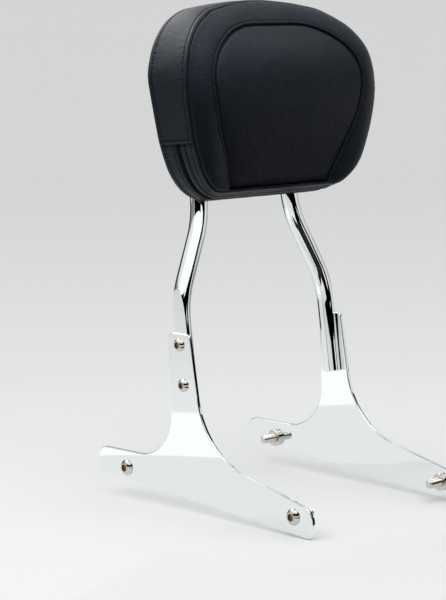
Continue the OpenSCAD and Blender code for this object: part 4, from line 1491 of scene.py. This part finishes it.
@dataclass
class Studio:
    """Pale floor that sweeps up behind, soft lights, cards and the camera at the photo's angle."""

    azimuth_deg: float = -45.10
    elevation_deg: float = 7.83
    distance: float = 2500.0
    lens: float = 136.98
    shift_right: float = -33.99
    shift_up: float = -10.6
    floor_drop: float = 0.4
    floor_colour: str = "#eceded"
    sky_colour: str = "#ffffff"
    sky_strength: float = 0.8
    floor_r: float = 4.0
    wall_r: float = 2.0
    middle: tuple[float, float] = (0.0, 0.14)
    aim_z: float = 0.3
    lamps: tuple[Lamp, ...] = (
        Lamp("key", (-1.5, 0.3, 1.9), 1.0, 8.0),
        Lamp("top", (-0.35, -0.45, 1.75), 0.8, 5.0),
        Lamp("fill", (1.2, -1.6, 1.4), 1.0, 3.0),
    )
    cards: tuple[Card, ...] = (
        Card("front_white", -20, 60, 0.0, 0.2, 0.75, 0.75),
        Card("front_dark", -20, 80, 0.22, 0.645, 0.0, 0.0),
        Card("right_dark", 39.5, 41, 0.0, 0.56, 0.0, 0.0),
        Card("low_dark", 67, 14, 0.0, 0.15, 0.0, 0.0),
        Card("low_white", 67, 14, 0.15, 0.235, 0.9, 0.9),
        Card("flat_dark", 67, 14, 0.235, 0.285, 0.0, 0.0),
        Card("rim_grey", 67, 14, 0.285, 0.34, 0.6, 0.6),
        Card("neck_dark", 83.5, 19, 0.0, 0.34, 0.0, 0.0),
        Card("curve_dark", 96.5, 25, 0.46, 1.15, 0.0, 0.0),
        Card("line_dark", 72, 24, 0.34, 0.7, 0.0, 0.0),
        Card("rim_white", 106, 44, 0.18, 0.46, 0.75, 0.75, distance=0.905),
        Card("upper_white", -1, 122, 0.56, 1.35, 1.1, 1.1, distance=0.905),
        Card("edge_line", -139, 42, 0.0, 0.6, 0.01, 0.01),
        Card("right_grey", 112, 44, 0.0, 1.6, 0.12, 0.5, distance=1.35),
        Card("front_top", 130, 44, 1.25, 2.2, 0.3, 4.2),
        Card("side_top", 62, 72, 1.08, 2.2, 2.4, 6.0),
        Card("left_top", -128, 66, 0.85, 1.9, 3.2, 5.4),
        Card("side_grey", -104, 84, 0.3, 0.6, 0.2, 0.3, distance=0.91),
        Card("side_white", -92, 60, 0.6, 1.05, 0.85, 0.85, distance=0.905),
        Card("neck_grey", -90, 44, 0.0, 0.3, 0.9, 0.58, distance=0.667),
        Card("rear_grey", 180, 70, 0.0, 0.35, 0.3, 0.3),
        Card("floor_near", -100, 148, 0.02, 0.39, 0.88, 0.88, flat=True),
        Card("floor_white", -90, 50, 0.39, 0.667, 1.1, 1.1, flat=True),
        Card("floor_flag", 72, 112, 0.24, 1.1, 0.0, 0.06, flat=True),
        Card("floor_band", -4.5, 41, 0.28, 0.56, 0.02, 0.02, flat=True),
    )

    def toward(self, bearing: np.ndarray) -> np.ndarray:
        """Directions on the floor at bearings from the camera's direction towards the right of the picture."""
        a = math.radians(-self.azimuth_deg)
        back, right = np.array([-math.sin(a), -math.cos(a)]), np.array([math.cos(a), -math.sin(a)])
        return np.cos(bearing)[..., None] * back + np.sin(bearing)[..., None] * right

    def card(self, card: Card, floor_z: float, cols: int = 17) -> None:
        """Make one card, seen in reflections only."""
        spoke = self.toward(np.radians(card.bearing_deg + np.linspace(-0.5, 0.5, cols) * card.width_deg))
        reach = np.array([card.low, card.high]) if card.flat else np.full(2, card.distance)
        height = np.full(2, 0.001) if card.flat else np.array([card.low, card.high])
        points = np.concatenate([spoke[None] * reach[:, None, None] + np.array(self.middle),
                                 np.broadcast_to((floor_z + height)[:, None, None], (2, cols, 1))], -1)
        mesh = new_mesh(card.name, points, grid_quads(2, cols, False).tolist())
        tone = mesh.attributes.new("tone", "FLOAT", "POINT")
        tone.data.foreach_set("value", np.repeat([card.low_tone, card.high_tone], cols).astype(np.float32))
        mat, tree = blank_material(card.name)
        read = add_node(tree, "ShaderNodeAttribute", {"attribute_name": "tone"})
        glow = add_node(tree, "ShaderNodeEmission", None, {"Strength": read.outputs["Fac"]})
        add_node(tree, "ShaderNodeOutputMaterial", None, {"Surface": glow.outputs["Emission"]})
        mesh.materials.append(mat)
        piece = in_scene(card.name, mesh)
        for kind in ("camera", "diffuse", "shadow", "transmission", "volume_scatter"):
            setattr(piece, f"visible_{kind}", False)

    def camera(self) -> None:
        """Place the camera back along the photo's line of sight, with its picture plane across that line."""
        a, e = math.radians(-self.azimuth_deg), math.radians(self.elevation_deg)
        back = Vector((-math.sin(a) * math.cos(e), -math.cos(a) * math.cos(e), math.sin(e)))
        right = Vector((math.cos(a), -math.sin(a), 0))
        up = back.cross(right)
        datum = Vector((0, PLACE.datum_y, PLACE.datum_z))
        eye = (datum + back * self.distance + right * self.shift_right + up * self.shift_up) * MM
        camera = in_scene("photo_camera", bpy.data.cameras.new("photo_camera"))
        camera.data.lens = self.lens
        camera.matrix_world = Matrix.Translation(eye) @ Matrix((right, up, back)).transposed().to_4x4()
        bpy.context.scene.camera = camera

    def soft_light(self, lamp: Lamp) -> None:
        """Add one square area light that points at the part."""
        light = in_scene(lamp.name, bpy.data.lights.new(lamp.name, "AREA"))
        light.data.size, light.data.energy = lamp.size, lamp.power
        turn = (Vector(lamp.place) - Vector((*self.middle, self.aim_z))).to_track_quat("Z", "Y")
        light.matrix_world = Matrix.Translation(lamp.place) @ turn.to_matrix().to_4x4()

    def sweep(self, floor_z: float, sides: int = 96) -> None:
        """Make the floor: a disc whose rim curves up into a low wall all round, by the profile z = r - r cos(t)."""
        turn = np.linspace(0, math.pi / 2, 25)[1:]
        flat = np.concatenate([[0.01], np.linspace(0.5, self.floor_r, 8)])
        radius = np.concatenate([flat, self.floor_r + self.wall_r * np.sin(turn)])
        height = np.concatenate([np.zeros(len(flat)), self.wall_r - self.wall_r * np.cos(turn)])
        faces = grid_quads(len(radius), sides).tolist() + [list(range(sides))[::-1]]
        mesh = new_mesh("floor", spun(radius, floor_z + height, sides), faces)
        mesh.flip_normals()
        mesh.polygons.foreach_set("use_smooth", np.ones(len(mesh.polygons), bool))
        mesh.materials.append(Finish("floor_paper", self.floor_colour, 0.9).start()[0])
        floor = in_scene("floor", mesh)

    def build(self) -> None:
        """Make floor, cards, lights, world and camera."""
        floor_z = CAD_BOX[0][2] - self.floor_drop * MM
        self.sweep(floor_z)
        for card in self.cards:
            self.card(card, floor_z)
        world = bpy.data.worlds.new("studio")
        bpy.context.scene.world = world
        world.use_nodes = True
        shade = world.node_tree.nodes["Background"]
        shade.inputs["Color"].default_value = linear(self.sky_colour)
        shade.inputs["Strength"].default_value = self.sky_strength
        for lamp in self.lamps:
            self.soft_light(lamp)
        bpy.context.scene.view_settings.view_transform = "Standard"
        self.camera()


def dress_cad(finishes: dict[str, Material]) -> None:
    """Give each CAD node the finish for a word in its name, and keep its edges over 30 degrees sharp."""
    by_word = {"nut": "zinc", "washer": "zinc", "board": "wood", "panel": "plastic", "strap": "chrome",
               "screw": "steel", "bolt": "steel", "spacer": "steel", "plate": "chrome", "hoop": "chrome",
               "cushion": "plastic"}
    for name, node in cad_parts.items():
        finish = next(finishes[kind] for word, kind in by_word.items() if word in name)
        node.data.materials.clear()
        node.data.materials.append(finish)
        node.data.set_sharp_from_angle(angle=math.radians(30))


def main() -> None:
    """Build the part's pieces in order, then the studio."""
    logging.basicConfig(level=logging.INFO, format="%(name)s: %(message)s")
    # the socket finish paints shade into the screws' recesses, with grease
    finishes = {"chrome": ChromePlate().material(), "steel": PolishedSteel().material(),
                "zinc": ZincPlate().material(), "plastic": MouldedPlastic().material(),
                "wood": Plywood().material(), "socket": SocketShadeAndGrease().material()}
    dress_cad(finishes)
    UprightHoop().build(finishes["chrome"])
    plates = SidePlates()
    fixings = Fasteners(plates, finishes["steel"], finishes["zinc"], finishes["socket"])
    for side in Side:
        plates.build(side, finishes["chrome"])
        fixings.on_side(side)
    fixings.on_pad()
    pad = Pad()
    pad.build(GrainedVinyl().material(), SewingThread().material())
    PadMount(pad).build(finishes["chrome"], finishes["plastic"], finishes["wood"])
    Studio().build()


if __name__ == "__main__":
    main()
